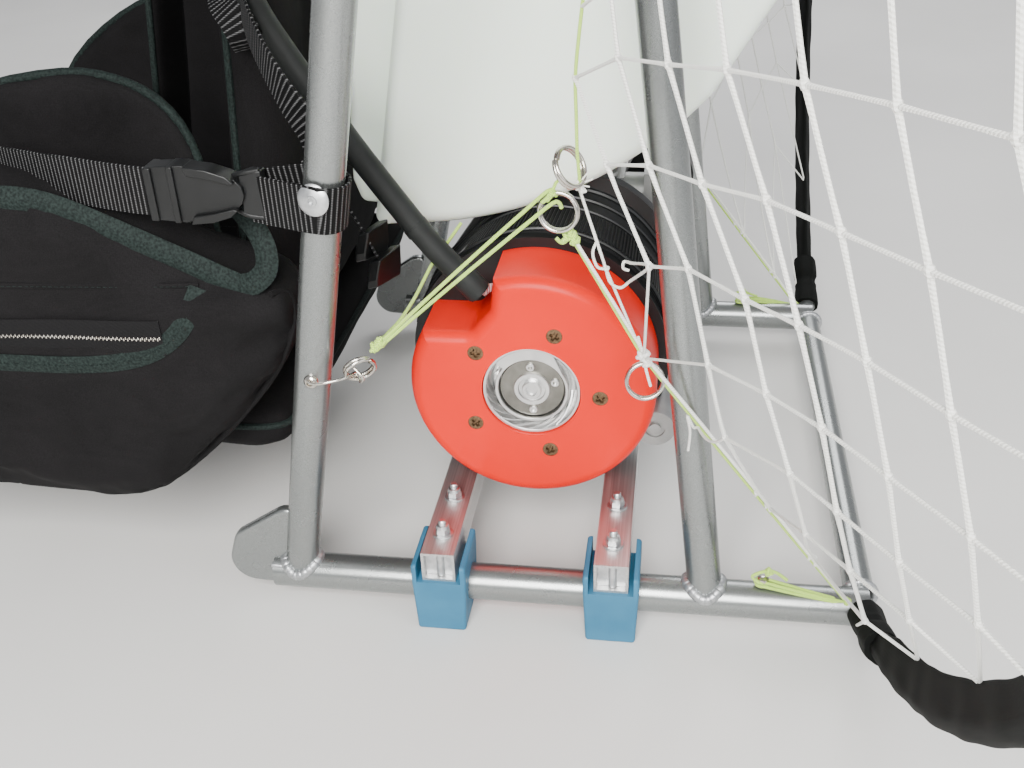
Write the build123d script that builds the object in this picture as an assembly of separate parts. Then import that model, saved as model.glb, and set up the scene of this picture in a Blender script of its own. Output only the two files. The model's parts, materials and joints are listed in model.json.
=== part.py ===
from build123d import *
import math
import os

# Paramotor, millimetres. X is across the frame and the pilot's left is +X, Y runs back from the front
# uprights' feet towards the propeller, and Z is up from the floor. The finished model is moved along Y
# so that its origin is below the middle of its box.

# Base frame
TRACK = 462
HALF_TRACK = TRACK / 2
BASE_R = 14
BASE_Z = 29.5
TUBE_WALL = 2
REAR_TUBE_R = 11
REAR_Y = 424
BASE_END = 4
TUBE_FRONT_Y = -19
TOE_THICKNESS = 9

# Cage ring: its tube meets the ends of the base tubes
RING_R = 695
RING_Z = BASE_Z + math.sqrt(RING_R**2 - HALF_TRACK**2)
RING_TUBE_R = 8.5
SLEEVE_R = 12
STUB_LENGTH = 75
SPOKE_R = 8
SPOKE_ANGLES = {"upper": 35, "middle": 80}
SPOKE_COPE_ANGLE = 6
UPPER_SPOKE_DROP = 20
MIDDLE_SPOKE_DROP = 50
COPE_REACH = 70

# Uprights: foot, lean back and lean outwards for each millimetre of height
UPRIGHT_R = 12.5
FRONT_LEAN_Y = 0.21
FRONT_LEAN_X = 0.1025
FRONT_TOP_Z = RING_Z + 50
REAR_FOOT_Y = 311.5
REAR_LEAN_Y = -0.121
REAR_LEAN_X = -0.08
REAR_TOP_Z = RING_Z + 115
CROSS_R = 11
LOW_CROSS_Z = RING_Z - 45
HIGH_CROSS_Z = RING_Z + 57
BRACE_R = 9

# Square engine bars and the rubber feet under them
BAR_SIZE = 25
BAR_WALL = 2
BAR_Z = 46
BAR_REACH = 22
BAR_YS = (115, 242.5)
FOOT_WIDTH = 41
FOOT_BOTTOM_WIDTH = 37
FOOT_DEPTH = 50
FOOT_WALL = 4
FOOT_WALL_TOP_Z = 61
FOOT_ROUND = 2.5

# Engine: the crankshaft lies across the frame
CRANK_Y = 177
CRANK_Z = 165.5
STARTER_FACE_X = 175
STARTER_BACK_X = 118
STARTER_R = 92.3
STARTER_ROUND = 10
STARTER_HOLE_R = 37
STARTER_SCREW_CIRCLE_R = 51.4
STARTER_SCREW_R = 5
STARTER_SCREW_ANGLE = -2.5
SHROUD_FRONT_X = 108
SHROUD_FLARE_X = 74
SHROUD_BACK_X = 62
SHROUD_R = 100
SHROUD_TANK_GAP = 3
CRANKCASE_HALF_Y = 58
CRANKCASE_END_X = -62
CYLINDER_R = 54
CYLINDER_BORE_R = 36
CYLINDER_X = -8
FIN_COUNT = 8
FIN_PITCH = 9
FIN_THICKNESS = 3
HEAD_HEIGHT = 26
PLUG_TOP = 28
PLUG_CAP_HEIGHT = 16
PLUG_CAP_R = 9
PLUG_CAP_REACH = 34
PLUG_BOOT_R = 6

# Drive
DRUM_R = 48
LOW_PULLEY_R = 27
HIGH_PULLEY_R = 62
BELT_X = -121
BELT_WIDTH = 26
BELT_THICKNESS = 5
FLANGE_THICKNESS = 2
FLANGE_RISE = 6
GEARBOX_Y = 328
GEARBOX_R = 42
GEARBOX_REACH = 88
GEARBOX_NOSE = 16
CARRIER_THICKNESS = 7
SHAFT_R = 10
PROP_SHAFT_R = 14
RUNNING_GAP = 0.05
SEAT_GAP = 0.3

# Propeller
PROP_Y = 460
PROP_R = RING_R - 70
HUB_R = 50
HUB_THICKNESS = 30
PLATE_THICKNESS = 8

# Fuel tank
TANK_NEAR_X = 101
TANK_FAR_X = -95
TANK_TOP_Z = LOW_CROSS_Z - 40
TANK_LOBE_X = 80
TANK_LOBE_BACK_Y = 64
TANK_LOBE_IN = 20
TANK_WALL = 7
TANK_ROUND = 22
NECK_X = 62
NECK_Y = 185
NECK_R = 24
NECK_HEIGHT = 14
CAP_R = 31
CAP_HEIGHT = 24

# Starter hose
HOSE_R = 8.75
HOSE_X = 160
CLIP_REACH = 12

# Swing arms
ARM_PIVOT_Z = 520
ARM_R = 12.5
ARM_LENGTH = 450
ARM_EYE_R = 8
ARM_STRAIGHT = 130
ARM_TIP_STRAIGHT = 160
ARM_SET_IN = 44
PIVOT_PIN_R = 6
PIVOT_OUT = 20

# Harness
SEAT_HALF_WIDTH = HALF_TRACK - 27
SEAT_FRONT_Y = -400
SEAT_BACK_Y = -4
SEAT_BOTTOM_Z = 104
SEAT_HEIGHT = 66
BACK_HALF_WIDTH = HOSE_X - CLIP_REACH
BACK_THICKNESS = 62
BACK_TOP_Z = RING_Z + 15
BAG_INNER_X = SEAT_HALF_WIDTH + SEAT_GAP
BAG_OUTER_X = HALF_TRACK + 30
STRAP_WIDTH = 40
STRAP_THICKNESS = 2.5
BAND_Z = 347
BUCKLE_FRONT_Y = -48
BUCKLE_BACK_Y = 28
BUCKLE_HALF_HEIGHT = 23
BUCKLE_HALF_WIDTH = 8
STRAP_REACH = 150


def rod(start, end, radius):
    """A round bar between two points."""
    a = Vector(*start)
    b = Vector(*end)
    plane = Plane(origin=a, z_dir=b - a)
    return plane * Cylinder(radius, (b - a).length, align=(Align.CENTER, Align.CENTER, Align.MIN))


def pipe(start, end, radius, wall):
    """A round tube between two points, open at both ends."""
    return rod(start, end, radius) - rod(start, end, radius - wall)


def block(xs, ys, zs):
    """A box from its lowest to its highest corner, with each pair as (low, high)."""
    size = [high - low for low, high in (xs, ys, zs)]
    middle = [(high + low) / 2 for low, high in (xs, ys, zs)]
    return Pos(*middle) * Box(*size)


def side_prism(outline, xs):
    """An outline in (Y, Z), drawn out across the frame from xs[0] to xs[1]."""
    plane = Plane.YZ.offset(xs[0])
    return extrude(plane * make_face(outline), amount=xs[1] - xs[0])


def disc(x_low, x_high, radius, y=CRANK_Y, z=CRANK_Z):
    """A disc whose axis lies across the frame."""
    return rod((x_low, y, z), (x_high, y, z), radius)


def upright_disc(x, y, z, height, radius):
    """A disc with an upright axis, standing on the height z."""
    return Pos(x, y, z) * Cylinder(radius, height, align=(Align.CENTER, Align.CENTER, Align.MIN))


def both_sides(shape):
    """The shape and its mirror image on the other side of the frame."""
    return [shape, mirror(shape, about=Plane.YZ)]


def group(shapes):
    """Separate solids kept in one piece."""
    solids = [solid for shape in shapes for solid in shape.solids()]
    return Compound(children=solids)


def front_point(z, side=1):
    """A point on a front upright's axis."""
    rise = z - BASE_Z
    return (side * (HALF_TRACK + FRONT_LEAN_X * rise), FRONT_LEAN_Y * rise, z)


def rear_point(z, side=1):
    """A point on a rear upright's axis."""
    rise = z - BASE_Z
    return (side * (HALF_TRACK + REAR_LEAN_X * rise), REAR_FOOT_Y + REAR_LEAN_Y * rise, z)


def ring_point(angle, radius=RING_R):
    """A point on the cage ring, with its angle in degrees from the top towards +X."""
    turn = math.radians(angle)
    return (radius * math.sin(turn), REAR_Y, RING_Z + radius * math.cos(turn))


def base_tube_core(radius, start=TUBE_FRONT_Y):
    """A base tube's envelope on the left side, used to seat other pieces on it."""
    return rod((HALF_TRACK, start, BASE_Z), (HALF_TRACK, REAR_Y, BASE_Z), radius)


TOE_CIRCLES = (
    # Y, height over the tube's axis and radius of the circles that the gusset's outline runs round
    (0, 0, 13.5),
    (-36, 8, 19.5),
    (-33, 22, 18),
    (-4, 46, 14),
)


def toe_plate():
    """Rounded gusset plate in front of the left upright's foot."""
    edges = [edge for y, up, r in TOE_CIRCLES for edge in (Pos(y, BASE_Z + up) * Circle(r)).edges()]
    half = TOE_THICKNESS / 2
    face = Plane.YZ.offset(HALF_TRACK - half) * make_hull(edges)
    plate = fillet(extrude(face, amount=TOE_THICKNESS).edges(), radius=half * 0.7)
    plate -= upright_core(front_point, BASE_Z - 60, BASE_Z + 120, 1)
    return plate.solids().sort_by(Axis.Y)[0]


def base_tube():
    """Base tube, closed at both ends, with the gusset plate on its front end."""
    tube = rod((HALF_TRACK, TUBE_FRONT_Y, BASE_Z), (HALF_TRACK, REAR_Y + BASE_END, BASE_Z), BASE_R)
    bore = rod((HALF_TRACK, 0, BASE_Z), (HALF_TRACK, REAR_Y, BASE_Z), BASE_R - TUBE_WALL)
    return (tube + toe_plate()) - bore


def base_tubes():
    return group(both_sides(base_tube()))


def rear_cross_tube():
    """Bare tube that joins the rear corners of the base."""
    tube = pipe((-HALF_TRACK, REAR_Y, BASE_Z), (HALF_TRACK, REAR_Y, BASE_Z), REAR_TUBE_R, TUBE_WALL)
    corner = rod((HALF_TRACK, REAR_Y - 40, BASE_Z), (HALF_TRACK, REAR_Y + 40, BASE_Z), BASE_R)
    for piece in both_sides(corner):
        tube -= piece
    return tube


def front_uprights():
    upright = pipe(front_point(BASE_Z), front_point(FRONT_TOP_Z), UPRIGHT_R, TUBE_WALL)
    return group(both_sides(upright - base_tube_core(BASE_R)))


def rear_uprights():
    upright = pipe(rear_point(BASE_Z), rear_point(REAR_TOP_Z), UPRIGHT_R, TUBE_WALL)
    return group(both_sides(upright - base_tube_core(BASE_R)))


def upright_core(point, low, high, side):
    """An upright's envelope between two heights, used to cope the tubes that meet it."""
    return rod(point(low, side), point(high, side), UPRIGHT_R)


def cross_tube(point, z):
    """Tube between the two uprights whose axes point() gives, coped to them."""
    tube = pipe(point(z, -1), point(z, 1), CROSS_R, TUBE_WALL)
    for side in (-1, 1):
        tube -= upright_core(point, z - 60, z + 60, side)
    return tube


def upper_cross_tubes():
    """Cross tubes as (upright, height): one in front, which holds the harness, and two behind."""
    table = ((front_point, LOW_CROSS_Z), (rear_point, LOW_CROSS_Z), (rear_point, HIGH_CROSS_Z))
    return group([cross_tube(point, z) for point, z in table])


def side_braces():
    """Short tubes from the front uprights' tops to the rear uprights."""
    front_z = FRONT_TOP_Z - 25
    rear_z = front_z + 25
    brace = rod(front_point(front_z), rear_point(rear_z), BRACE_R)
    brace -= upright_core(front_point, front_z - 60, front_z + 60, 1)
    brace -= upright_core(rear_point, rear_z - 60, rear_z + 60, 1)
    return group(both_sides(max(brace.solids(), key=lambda solid: solid.volume)))


def bar_envelope(y, reach=HALF_TRACK + BAR_REACH):
    half = BAR_SIZE / 2
    return block((-reach, reach), (y - half, y + half), (BAR_Z, BAR_Z + BAR_SIZE))


def engine_bars():
    """Two square tubes that carry the engine across the base tubes, open at their ends."""
    bars = []
    inner = BAR_SIZE / 2 - BAR_WALL
    for y in BAR_YS:
        hollow = block(
            (-TRACK, TRACK), (y - inner, y + inner), (BAR_Z + BAR_WALL, BAR_Z + BAR_SIZE - BAR_WALL)
        )
        bars.append(bar_envelope(y) - hollow)
    return group(bars)


def rubber_foot(y):
    """Rubber block round the base tube, with a fork that holds the engine bar."""
    half_top = FOOT_WIDTH / 2
    half_low = FOOT_BOTTOM_WIDTH / 2
    outer_x = HALF_TRACK + FOOT_DEPTH / 2
    inner_x = HALF_TRACK - FOOT_DEPTH / 2
    body = side_prism(
        Polyline(
            (y - half_low, 0),
            (y + half_low, 0),
            (y + half_top, BAR_Z),
            (y + half_top, FOOT_WALL_TOP_Z),
            (y - half_top, FOOT_WALL_TOP_Z),
            (y - half_top, BAR_Z),
            close=True,
        ),
        (inner_x, outer_x),
    )
    body = fillet(body.edges(), radius=FOOT_ROUND)
    slot_half = half_top - FOOT_WALL
    body -= block((inner_x - 1, outer_x + 1), (y - slot_half, y + slot_half), (BAR_Z, FOOT_WALL_TOP_Z + 1))
    body -= rod((HALF_TRACK, y - FOOT_WIDTH, BASE_Z), (HALF_TRACK, y + FOOT_WIDTH, BASE_Z), BASE_R)
    return body


def rubber_feet():
    return group([piece for y in BAR_YS for piece in both_sides(rubber_foot(y))])


CORNER_ANGLE = 180 - math.degrees(math.asin(HALF_TRACK / RING_R))
STUB_ANGLE = math.degrees(STUB_LENGTH / RING_R)


def ring_arc(first, last, radius):
    """A length of the cage ring between two angles."""
    path = ThreePointArc(ring_point(first), ring_point((first + last) / 2), ring_point(last))
    plane = Plane(origin=path @ 0, z_dir=path % 0)
    return sweep(plane * Circle(radius), path=path)


def ring_stubs():
    """Bare ends of the ring tube, welded to the base's rear corners."""
    stub = ring_arc(CORNER_ANGLE, CORNER_ANGLE - STUB_ANGLE, RING_TUBE_R)
    stub -= base_tube_core(BASE_R) + rod(
        (HALF_TRACK, REAR_Y - 1, BASE_Z), (HALF_TRACK, REAR_Y + BASE_R, BASE_Z), BASE_R
    )
    stub -= rod((-HALF_TRACK, REAR_Y, BASE_Z), (HALF_TRACK, REAR_Y, BASE_Z), REAR_TUBE_R)
    return group(both_sides(max(stub.solids(), key=lambda solid: solid.volume)))


def ring_length(part):
    """One of the two sleeved lengths on the left side, as part 0 below and part 1 above."""
    start = CORNER_ANGLE - STUB_ANGLE
    step = start / 2
    return ring_arc(start - part * step, start - (part + 1) * step, SLEEVE_R)


def ring_spokes():
    """Radial tubes from the uprights to the ring."""
    upper_z = REAR_TOP_Z - UPPER_SPOKE_DROP
    middle_z = FRONT_TOP_Z - MIDDLE_SPOKE_DROP
    starts = {"upper": rear_point(upper_z), "middle": front_point(middle_z)}
    cores = {
        "upper": upright_core(rear_point, upper_z - COPE_REACH, REAR_TOP_Z + 10, 1),
        "middle": upright_core(front_point, middle_z - COPE_REACH, FRONT_TOP_Z + 10, 1),
    }
    spokes = []
    for name, angle in SPOKE_ANGLES.items():
        spoke = rod(starts[name], ring_point(angle), SPOKE_R) - cores[name]
        spoke -= ring_arc(angle + SPOKE_COPE_ANGLE, angle - SPOKE_COPE_ANGLE, SLEEVE_R)
        spoke = max(spoke.solids(), key=lambda solid: solid.volume)
        spokes.extend(both_sides(spoke))
    return group(spokes)


def tank_outline():
    """Side profile of the tank's near part: its front leans back and its underside rises to the rear."""
    front_low = (47, 262)
    belly_start = (104, 266)
    belly_mid = (222, 304)
    belly_end = (300, 366)
    rear_low = (345, 440)
    rear_top = (345, TANK_TOP_Z)
    front_top = (110, TANK_TOP_Z)
    return (
        Line(front_top, front_low)
        + Line(front_low, belly_start)
        + ThreePointArc(belly_start, belly_mid, belly_end)
        + Line(belly_end, rear_low)
        + Line(rear_low, rear_top)
        + Line(rear_top, front_top)
    )


def lobe_outline():
    """Side profile of the shallow lobe in front of the tank."""
    return Polyline(
        (28, 292), (34, 274), (TANK_LOBE_BACK_Y, 272), (118, TANK_TOP_Z), (46, TANK_TOP_Z), close=True
    )


def tank_recess(gap=0):
    """Room for the cylinder and its head under the far half of the tank."""
    top = HEAD_Z + HEAD_HEIGHT + 50
    return block(
        (TANK_FAR_X - 1, CYLINDER_X + CYLINDER_R + 8 + gap),
        (TANK_LOBE_BACK_Y - gap, TRACK),
        (CRANK_Z, top + gap),
    )


def tank_core():
    """The room inside the tank, with square corners well inside the rounded wall."""
    belly = offset(make_face(tank_outline()), amount=-TANK_WALL)
    lobe = offset(make_face(lobe_outline()), amount=-TANK_WALL)
    inner_width = TANK_NEAR_X - TANK_FAR_X - 2 * TANK_WALL
    near = extrude(Plane.YZ.offset(TANK_FAR_X + TANK_WALL) * belly, amount=inner_width)
    front_x = TANK_FAR_X + TANK_LOBE_IN + TANK_WALL
    front = extrude(Plane.YZ.offset(front_x) * lobe, amount=TANK_LOBE_X - TANK_WALL - front_x)
    return near + front - tank_recess(TANK_WALL)


def fuel_tank():
    """Hollow closed tank with its neck, raised over the cylinder on the far side."""
    outer = side_prism(tank_outline(), (TANK_FAR_X, TANK_NEAR_X)) - tank_recess()
    outer = fillet(outer.edges().filter_by(Axis.X), radius=TANK_ROUND * 0.3)
    near = outer.faces().filter_by(Axis.X).sort_by(Axis.X)[-1]
    outer = fillet(near.edges(), radius=TANK_ROUND * 0.5)
    lobe = side_prism(lobe_outline(), (TANK_FAR_X + TANK_LOBE_IN, TANK_LOBE_X))
    outer += fillet(lobe.edges(), radius=TANK_ROUND * 0.35)
    outer -= tank_core()
    return outer + upright_disc(NECK_X, NECK_Y, TANK_TOP_Z, NECK_HEIGHT, NECK_R)


def tank_cap():
    """Screw cap over the neck."""
    cap = upright_disc(NECK_X, NECK_Y, TANK_TOP_Z + SEAT_GAP, CAP_HEIGHT, CAP_R)
    return cap - upright_disc(NECK_X, NECK_Y, TANK_TOP_Z - 1, NECK_HEIGHT + 1, NECK_R)


def tank_lugs():
    """Four lugs between the tank's top and the cross tubes above it."""
    lugs = []
    for point in (front_point, rear_point):
        y = point(LOW_CROSS_Z)[1]
        lug = block((50, 80), (y - 12, y + 12), (TANK_TOP_Z, LOW_CROSS_Z))
        lug -= rod((0, y, LOW_CROSS_Z), (200, y, LOW_CROSS_Z), CROSS_R)
        lug = lug.solids().sort_by(Axis.Z)[0]
        lugs.extend(both_sides(lug))
    return group(lugs)


def starter_outline():
    """Front outline of the starter cover: a circle with a pocket for the hose cut out at its upper front."""
    reach = STARTER_R * 1.4
    pocket = Polyline(
        (CRANK_Y - reach, CRANK_Z + 46),
        (CRANK_Y - 44, CRANK_Z + 46),
        (CRANK_Y - 29, CRANK_Z + 64),
        (CRANK_Y - 21, CRANK_Z + reach),
        (CRANK_Y - reach, CRANK_Z + reach),
        close=True,
    )
    cover = Pos(CRANK_Y, CRANK_Z) * Circle(STARTER_R) - make_face(pocket)
    corners = [v for v in cover.vertices() if v.Y < CRANK_Z + 75 and v.X > CRANK_Y - 60]
    return fillet(corners, radius=9)


def starter_housing():
    """Red recoil starter cover with a pocket for the cord's hose and a round hole for its hub."""
    depth = STARTER_FACE_X - STARTER_BACK_X
    shell = extrude(Plane.YZ.offset(STARTER_BACK_X) * starter_outline(), amount=depth)
    front = shell.faces().sort_by(Axis.X)[-1]
    shell = fillet(front.edges(), radius=STARTER_ROUND)
    shell -= disc(STARTER_FACE_X - 26, STARTER_FACE_X + 1, STARTER_HOLE_R)
    for turn in range(5):
        angle = math.radians(STARTER_SCREW_ANGLE + 72 * turn)
        y = CRANK_Y + STARTER_SCREW_CIRCLE_R * math.cos(angle)
        z = CRANK_Z + STARTER_SCREW_CIRCLE_R * math.sin(angle)
        shell -= disc(STARTER_FACE_X - 4, STARTER_FACE_X + 1, STARTER_SCREW_R, y, z)
    return shell


def starter_hub():
    """Machined hub in the starter's hole: a stepped bush with a raised middle."""
    steps = (
        (STARTER_FACE_X - 26, STARTER_FACE_X - 4, STARTER_HOLE_R - SEAT_GAP, 30.5),
        (STARTER_FACE_X - 26, STARTER_FACE_X - 14, 30.5, 0),
        (STARTER_FACE_X - 14, STARTER_FACE_X - 8, 25, 0),
        (STARTER_FACE_X - 8, STARTER_FACE_X - 3, 13, 7),
    )
    hub = Part()
    for low, high, outer, inner in steps:
        ring = disc(low, high, outer)
        if inner:
            ring -= disc(low - 1, high + 1, inner)
        hub += ring
    return hub


def shroud_face(x, back, up, radius):
    """Section of the shroud at x: its circle about the crankshaft, drawn out round a second, higher one."""
    low = Pos(CRANK_Y, CRANK_Z) * Circle(SHROUD_R)
    high = Pos(CRANK_Y + back, CRANK_Z + up) * Circle(radius)
    return Plane.YZ.offset(x) * make_hull(low.edges() + high.edges())


def fan_shroud():
    """Dark fan housing behind the starter, flaring up towards the cylinder, with a rim at its back."""
    shroud = disc(SHROUD_FRONT_X, STARTER_BACK_X, SHROUD_R)
    shroud += loft([shroud_face(SHROUD_FLARE_X, 15, 40, 83), shroud_face(SHROUD_FRONT_X, 3, 6, 97)])
    rim = shroud_face(SHROUD_BACK_X, 18, 48, 87)
    shroud += extrude(rim, amount=SHROUD_FLARE_X - SHROUD_BACK_X)
    shroud -= Pos(0, 0, -SHROUD_TANK_GAP) * side_prism(tank_outline(), (0, TRACK))
    floor = BAR_Z + BAR_SIZE
    return shroud - block((SHROUD_BACK_X - 1, STARTER_BACK_X + 1), (-TRACK, TRACK), (0, floor))


def crankcase():
    """Crankcase on four feet, bolted down to the engine bars."""
    half = CRANKCASE_HALF_Y
    ys = (CRANK_Y - half, CRANK_Y + half)
    case = block((CRANKCASE_END_X, SHROUD_BACK_X), ys, (CRANK_Z - half, CRANK_Z + half))
    case = fillet(case.edges().filter_by(Axis.X), radius=half * 0.45)
    case = fillet(case.faces().sort_by(Axis.X)[0].edges(), radius=6)
    for y in BAR_YS:
        for x in (CRANKCASE_END_X + 8, SHROUD_BACK_X - 30):
            top = CRANK_Z - half + 30
            toward = CRANK_Y - half + 6 if y < CRANK_Y else CRANK_Y + half - 6
            ys = (min(y - 12, toward), max(y + 12, toward))
            case += block((x, x + 22), ys, (BAR_Z + BAR_SIZE, top))
    return case


CYLINDER_BASE_Z = CRANK_Z + CRANKCASE_HALF_Y
HEAD_Z = CYLINDER_BASE_Z + FIN_COUNT * FIN_PITCH
PORT_Y = CRANK_Y + CYLINDER_R + 4
PORT_Z = CYLINDER_BASE_Z + 32
FILTER_GAP = 34
FILTER_WIDTH = 56
FILTER_R = 28
FILTER_Y = PORT_Y + 28


def cylinder():
    """Barrel with cooling fins, and the ports' faces in front and behind."""
    barrel = Pos(CYLINDER_X, CRANK_Y, CYLINDER_BASE_Z) * Cylinder(
        CYLINDER_BORE_R, FIN_COUNT * FIN_PITCH, align=(Align.CENTER, Align.CENTER, Align.MIN)
    )
    for index in range(FIN_COUNT):
        z = CYLINDER_BASE_Z + index * FIN_PITCH + FIN_PITCH - FIN_THICKNESS
        fin = Pos(CYLINDER_X, CRANK_Y, z) * extrude(
            RectangleRounded(2 * CYLINDER_R, 2 * CYLINDER_R, 18), amount=FIN_THICKNESS
        )
        barrel += fin
    for sign in (-1, 1):
        ys = sorted((CRANK_Y, CRANK_Y + sign * (CYLINDER_R + 4)))
        barrel += block((CYLINDER_X - 20, CYLINDER_X + 20), ys, (CYLINDER_BASE_Z + 14, CYLINDER_BASE_Z + 50))
    return barrel


def cylinder_head():
    """Head with upright fins and the spark plug's hexagon."""
    head = Pos(CYLINDER_X, CRANK_Y, HEAD_Z) * extrude(
        RectangleRounded(2 * CYLINDER_R - 6, 2 * CYLINDER_R - 6, 18), amount=8
    )
    for index in range(-4, 5):
        x = CYLINDER_X + index * 11
        reach = CYLINDER_R - 8 - abs(index) * 2
        ys = (CRANK_Y - reach, CRANK_Y + reach)
        head += block((x - 1.5, x + 1.5), ys, (HEAD_Z + 8, HEAD_Z + HEAD_HEIGHT))
    head += upright_disc(CYLINDER_X, CRANK_Y, HEAD_Z + 8, 10, 14)
    head += Pos(CYLINDER_X, CRANK_Y, HEAD_Z + 18) * extrude(RegularPolygon(10, 6), amount=PLUG_TOP - 18)
    return head


def plug_cap():
    """Rubber cap on the spark plug, turned towards the far side."""
    low = HEAD_Z + PLUG_TOP
    middle = low + PLUG_CAP_HEIGHT / 2
    cap = upright_disc(CYLINDER_X, CRANK_Y, low, PLUG_CAP_HEIGHT, PLUG_CAP_R)
    return cap + disc(CYLINDER_X - PLUG_CAP_REACH, CYLINDER_X, PLUG_BOOT_R, CRANK_Y, middle)


def carburettor():
    """Carburettor on the rear inlet port."""
    port = rod((CYLINDER_X, PORT_Y, PORT_Z), (CYLINDER_X, PORT_Y + 16, PORT_Z), 15)
    body = block((CYLINDER_X - 22, CYLINDER_X + 22), (PORT_Y + 16, PORT_Y + 40), (PORT_Z - 22, PORT_Z + 22))
    return port + body + disc(CYLINDER_X - FILTER_GAP, CYLINDER_X - 22, 12, FILTER_Y, PORT_Z)


def air_filter():
    """Round air filter box on the carburettor's far side."""
    near_x = CYLINDER_X - FILTER_GAP
    box = disc(near_x - FILTER_WIDTH, near_x, FILTER_R, FILTER_Y, PORT_Z)
    return fillet(box.faces().sort_by(Axis.X)[0].edges(), radius=10)


SILENCER_X = -150
SILENCER_Y = 92
SILENCER_R = 33
SILENCER_LOW_Z = 330
SILENCER_HIGH_Z = 560
PIPE_R = 14


def exhaust_pipe():
    """Header from the front port, bent across to the silencer's lower end."""
    z = CYLINDER_BASE_Z + 32
    start = (CYLINDER_X, CRANK_Y - CYLINDER_R - 4, z)
    points = [
        start,
        (CYLINDER_X, SILENCER_Y, z),
        (SILENCER_X, SILENCER_Y, z),
        (SILENCER_X, SILENCER_Y, SILENCER_LOW_Z),
    ]
    path = FilletPolyline(*points, radius=26)
    return sweep(Plane(origin=path @ 0, z_dir=path % 0) * Circle(PIPE_R), path=path)


def silencer():
    """Upright silencer on the far side of the tank, with a turned outlet and a clamp to the frame."""
    body = Pos(SILENCER_X, SILENCER_Y, SILENCER_LOW_Z) * Cylinder(
        SILENCER_R, SILENCER_HIGH_Z - SILENCER_LOW_Z, align=(Align.CENTER, Align.CENTER, Align.MIN)
    )
    body = fillet(body.edges().filter_by(GeomType.CIRCLE), radius=12)
    body += rod(
        (SILENCER_X, SILENCER_Y, SILENCER_HIGH_Z - 40),
        (SILENCER_X - SILENCER_R - 16, SILENCER_Y - 14, SILENCER_HIGH_Z - 40),
        9,
    )
    clamp_z = 470
    x, y, z = front_point(clamp_z, -1)
    arm = rod((SILENCER_X, SILENCER_Y, clamp_z), (x, y, z), 5)
    arm -= upright_core(front_point, clamp_z - 40, clamp_z + 40, -1)
    arm = arm.solids().sort_by(Axis.X)[-1]
    return body + arm


def pulley(radius, y, z):
    """Belt pulley with two flanges."""
    half = BELT_WIDTH / 2 + 1
    wheel = disc(BELT_X - half, BELT_X + half, radius, y, z)
    rim = radius + BELT_THICKNESS + FLANGE_RISE - 4
    wheel += disc(BELT_X - half - FLANGE_THICKNESS, BELT_X - half, rim, y, z)
    wheel += disc(BELT_X + half, BELT_X + half + FLANGE_THICKNESS, rim, y, z)
    return wheel


def clutch_drum():
    """Clutch drum on the crankshaft's end, with the small belt pulley."""
    inner_x = BELT_X + BELT_WIDTH / 2 + 1 + FLANGE_THICKNESS
    drum = disc(inner_x, CRANKCASE_END_X - 6, DRUM_R)
    drum += pulley(LOW_PULLEY_R, CRANK_Y, CRANK_Z)
    drum += disc(CRANKCASE_END_X - 6, CRANKCASE_END_X - SEAT_GAP, 16)
    drum += disc(BELT_X - BELT_WIDTH / 2 - 12, BELT_X, 10)
    return drum


def upper_pulley():
    """Large belt pulley on the gearbox's cross shaft."""
    wheel = pulley(HIGH_PULLEY_R, GEARBOX_Y, RING_Z)
    wheel += disc(BELT_X - BELT_WIDTH / 2 - 12, -GEARBOX_R - 20, SHAFT_R, GEARBOX_Y, RING_Z)
    for turn in range(6):
        angle = math.radians(60 * turn)
        y = GEARBOX_Y + 38 * math.cos(angle)
        z = RING_Z + 38 * math.sin(angle)
        wheel -= disc(BELT_X - 40, BELT_X + 40, 12, y, z)
    return wheel


def drive_belt():
    """Toothed belt round both pulleys."""
    half = BELT_WIDTH / 2
    rise = math.hypot(GEARBOX_Y - CRANK_Y, RING_Z - CRANK_Z)
    tilt = math.degrees(math.atan2(GEARBOX_Y - CRANK_Y, RING_Z - CRANK_Z))

    def loop(extra, half_width):
        low = LOW_PULLEY_R + extra
        high = HIGH_PULLEY_R + extra
        hull = math.degrees(math.asin((high - low) / rise))
        turn = math.radians(hull)
        low_y = low * math.cos(turn)
        low_z = -low * math.sin(turn)
        high_y = high * math.cos(turn)
        high_z = rise - high * math.sin(turn)
        outline = (
            Line((low_y, low_z), (high_y, high_z))
            + ThreePointArc((high_y, high_z), (0, rise + high), (-high_y, high_z))
            + Line((-high_y, high_z), (-low_y, low_z))
            + ThreePointArc((-low_y, low_z), (0, -low), (low_y, low_z))
        )
        return extrude(Plane.YZ * make_face(outline), amount=half_width, both=True)

    belt = loop(SEAT_GAP + BELT_THICKNESS, half) - loop(SEAT_GAP, half + 1)
    return Pos(BELT_X, CRANK_Y, CRANK_Z) * Rot(-tilt, 0, 0) * belt


def carrier_face_y():
    """The carrier plate's rear face, behind the two rear cross tubes."""
    return rear_point(LOW_CROSS_Z)[1] + CROSS_R + 3 + CARRIER_THICKNESS


def gearbox():
    """Right-angle gearbox: cross shaft in from the far side, propeller shaft out behind."""
    back_y = GEARBOX_Y + GEARBOX_REACH
    body = rod((0, carrier_face_y(), RING_Z), (0, back_y, RING_Z), GEARBOX_R)
    body += disc(-GEARBOX_R - 46, 0, 30, GEARBOX_Y, RING_Z)
    body += rod((0, back_y, RING_Z), (0, back_y + GEARBOX_NOSE, RING_Z), 28)
    body -= disc(-TRACK, -GEARBOX_R - 10, SHAFT_R + RUNNING_GAP, GEARBOX_Y, RING_Z)
    body -= rod((0, GEARBOX_Y + 60, RING_Z), (0, PROP_Y, RING_Z), PROP_SHAFT_R + RUNNING_GAP)
    return body


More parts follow.
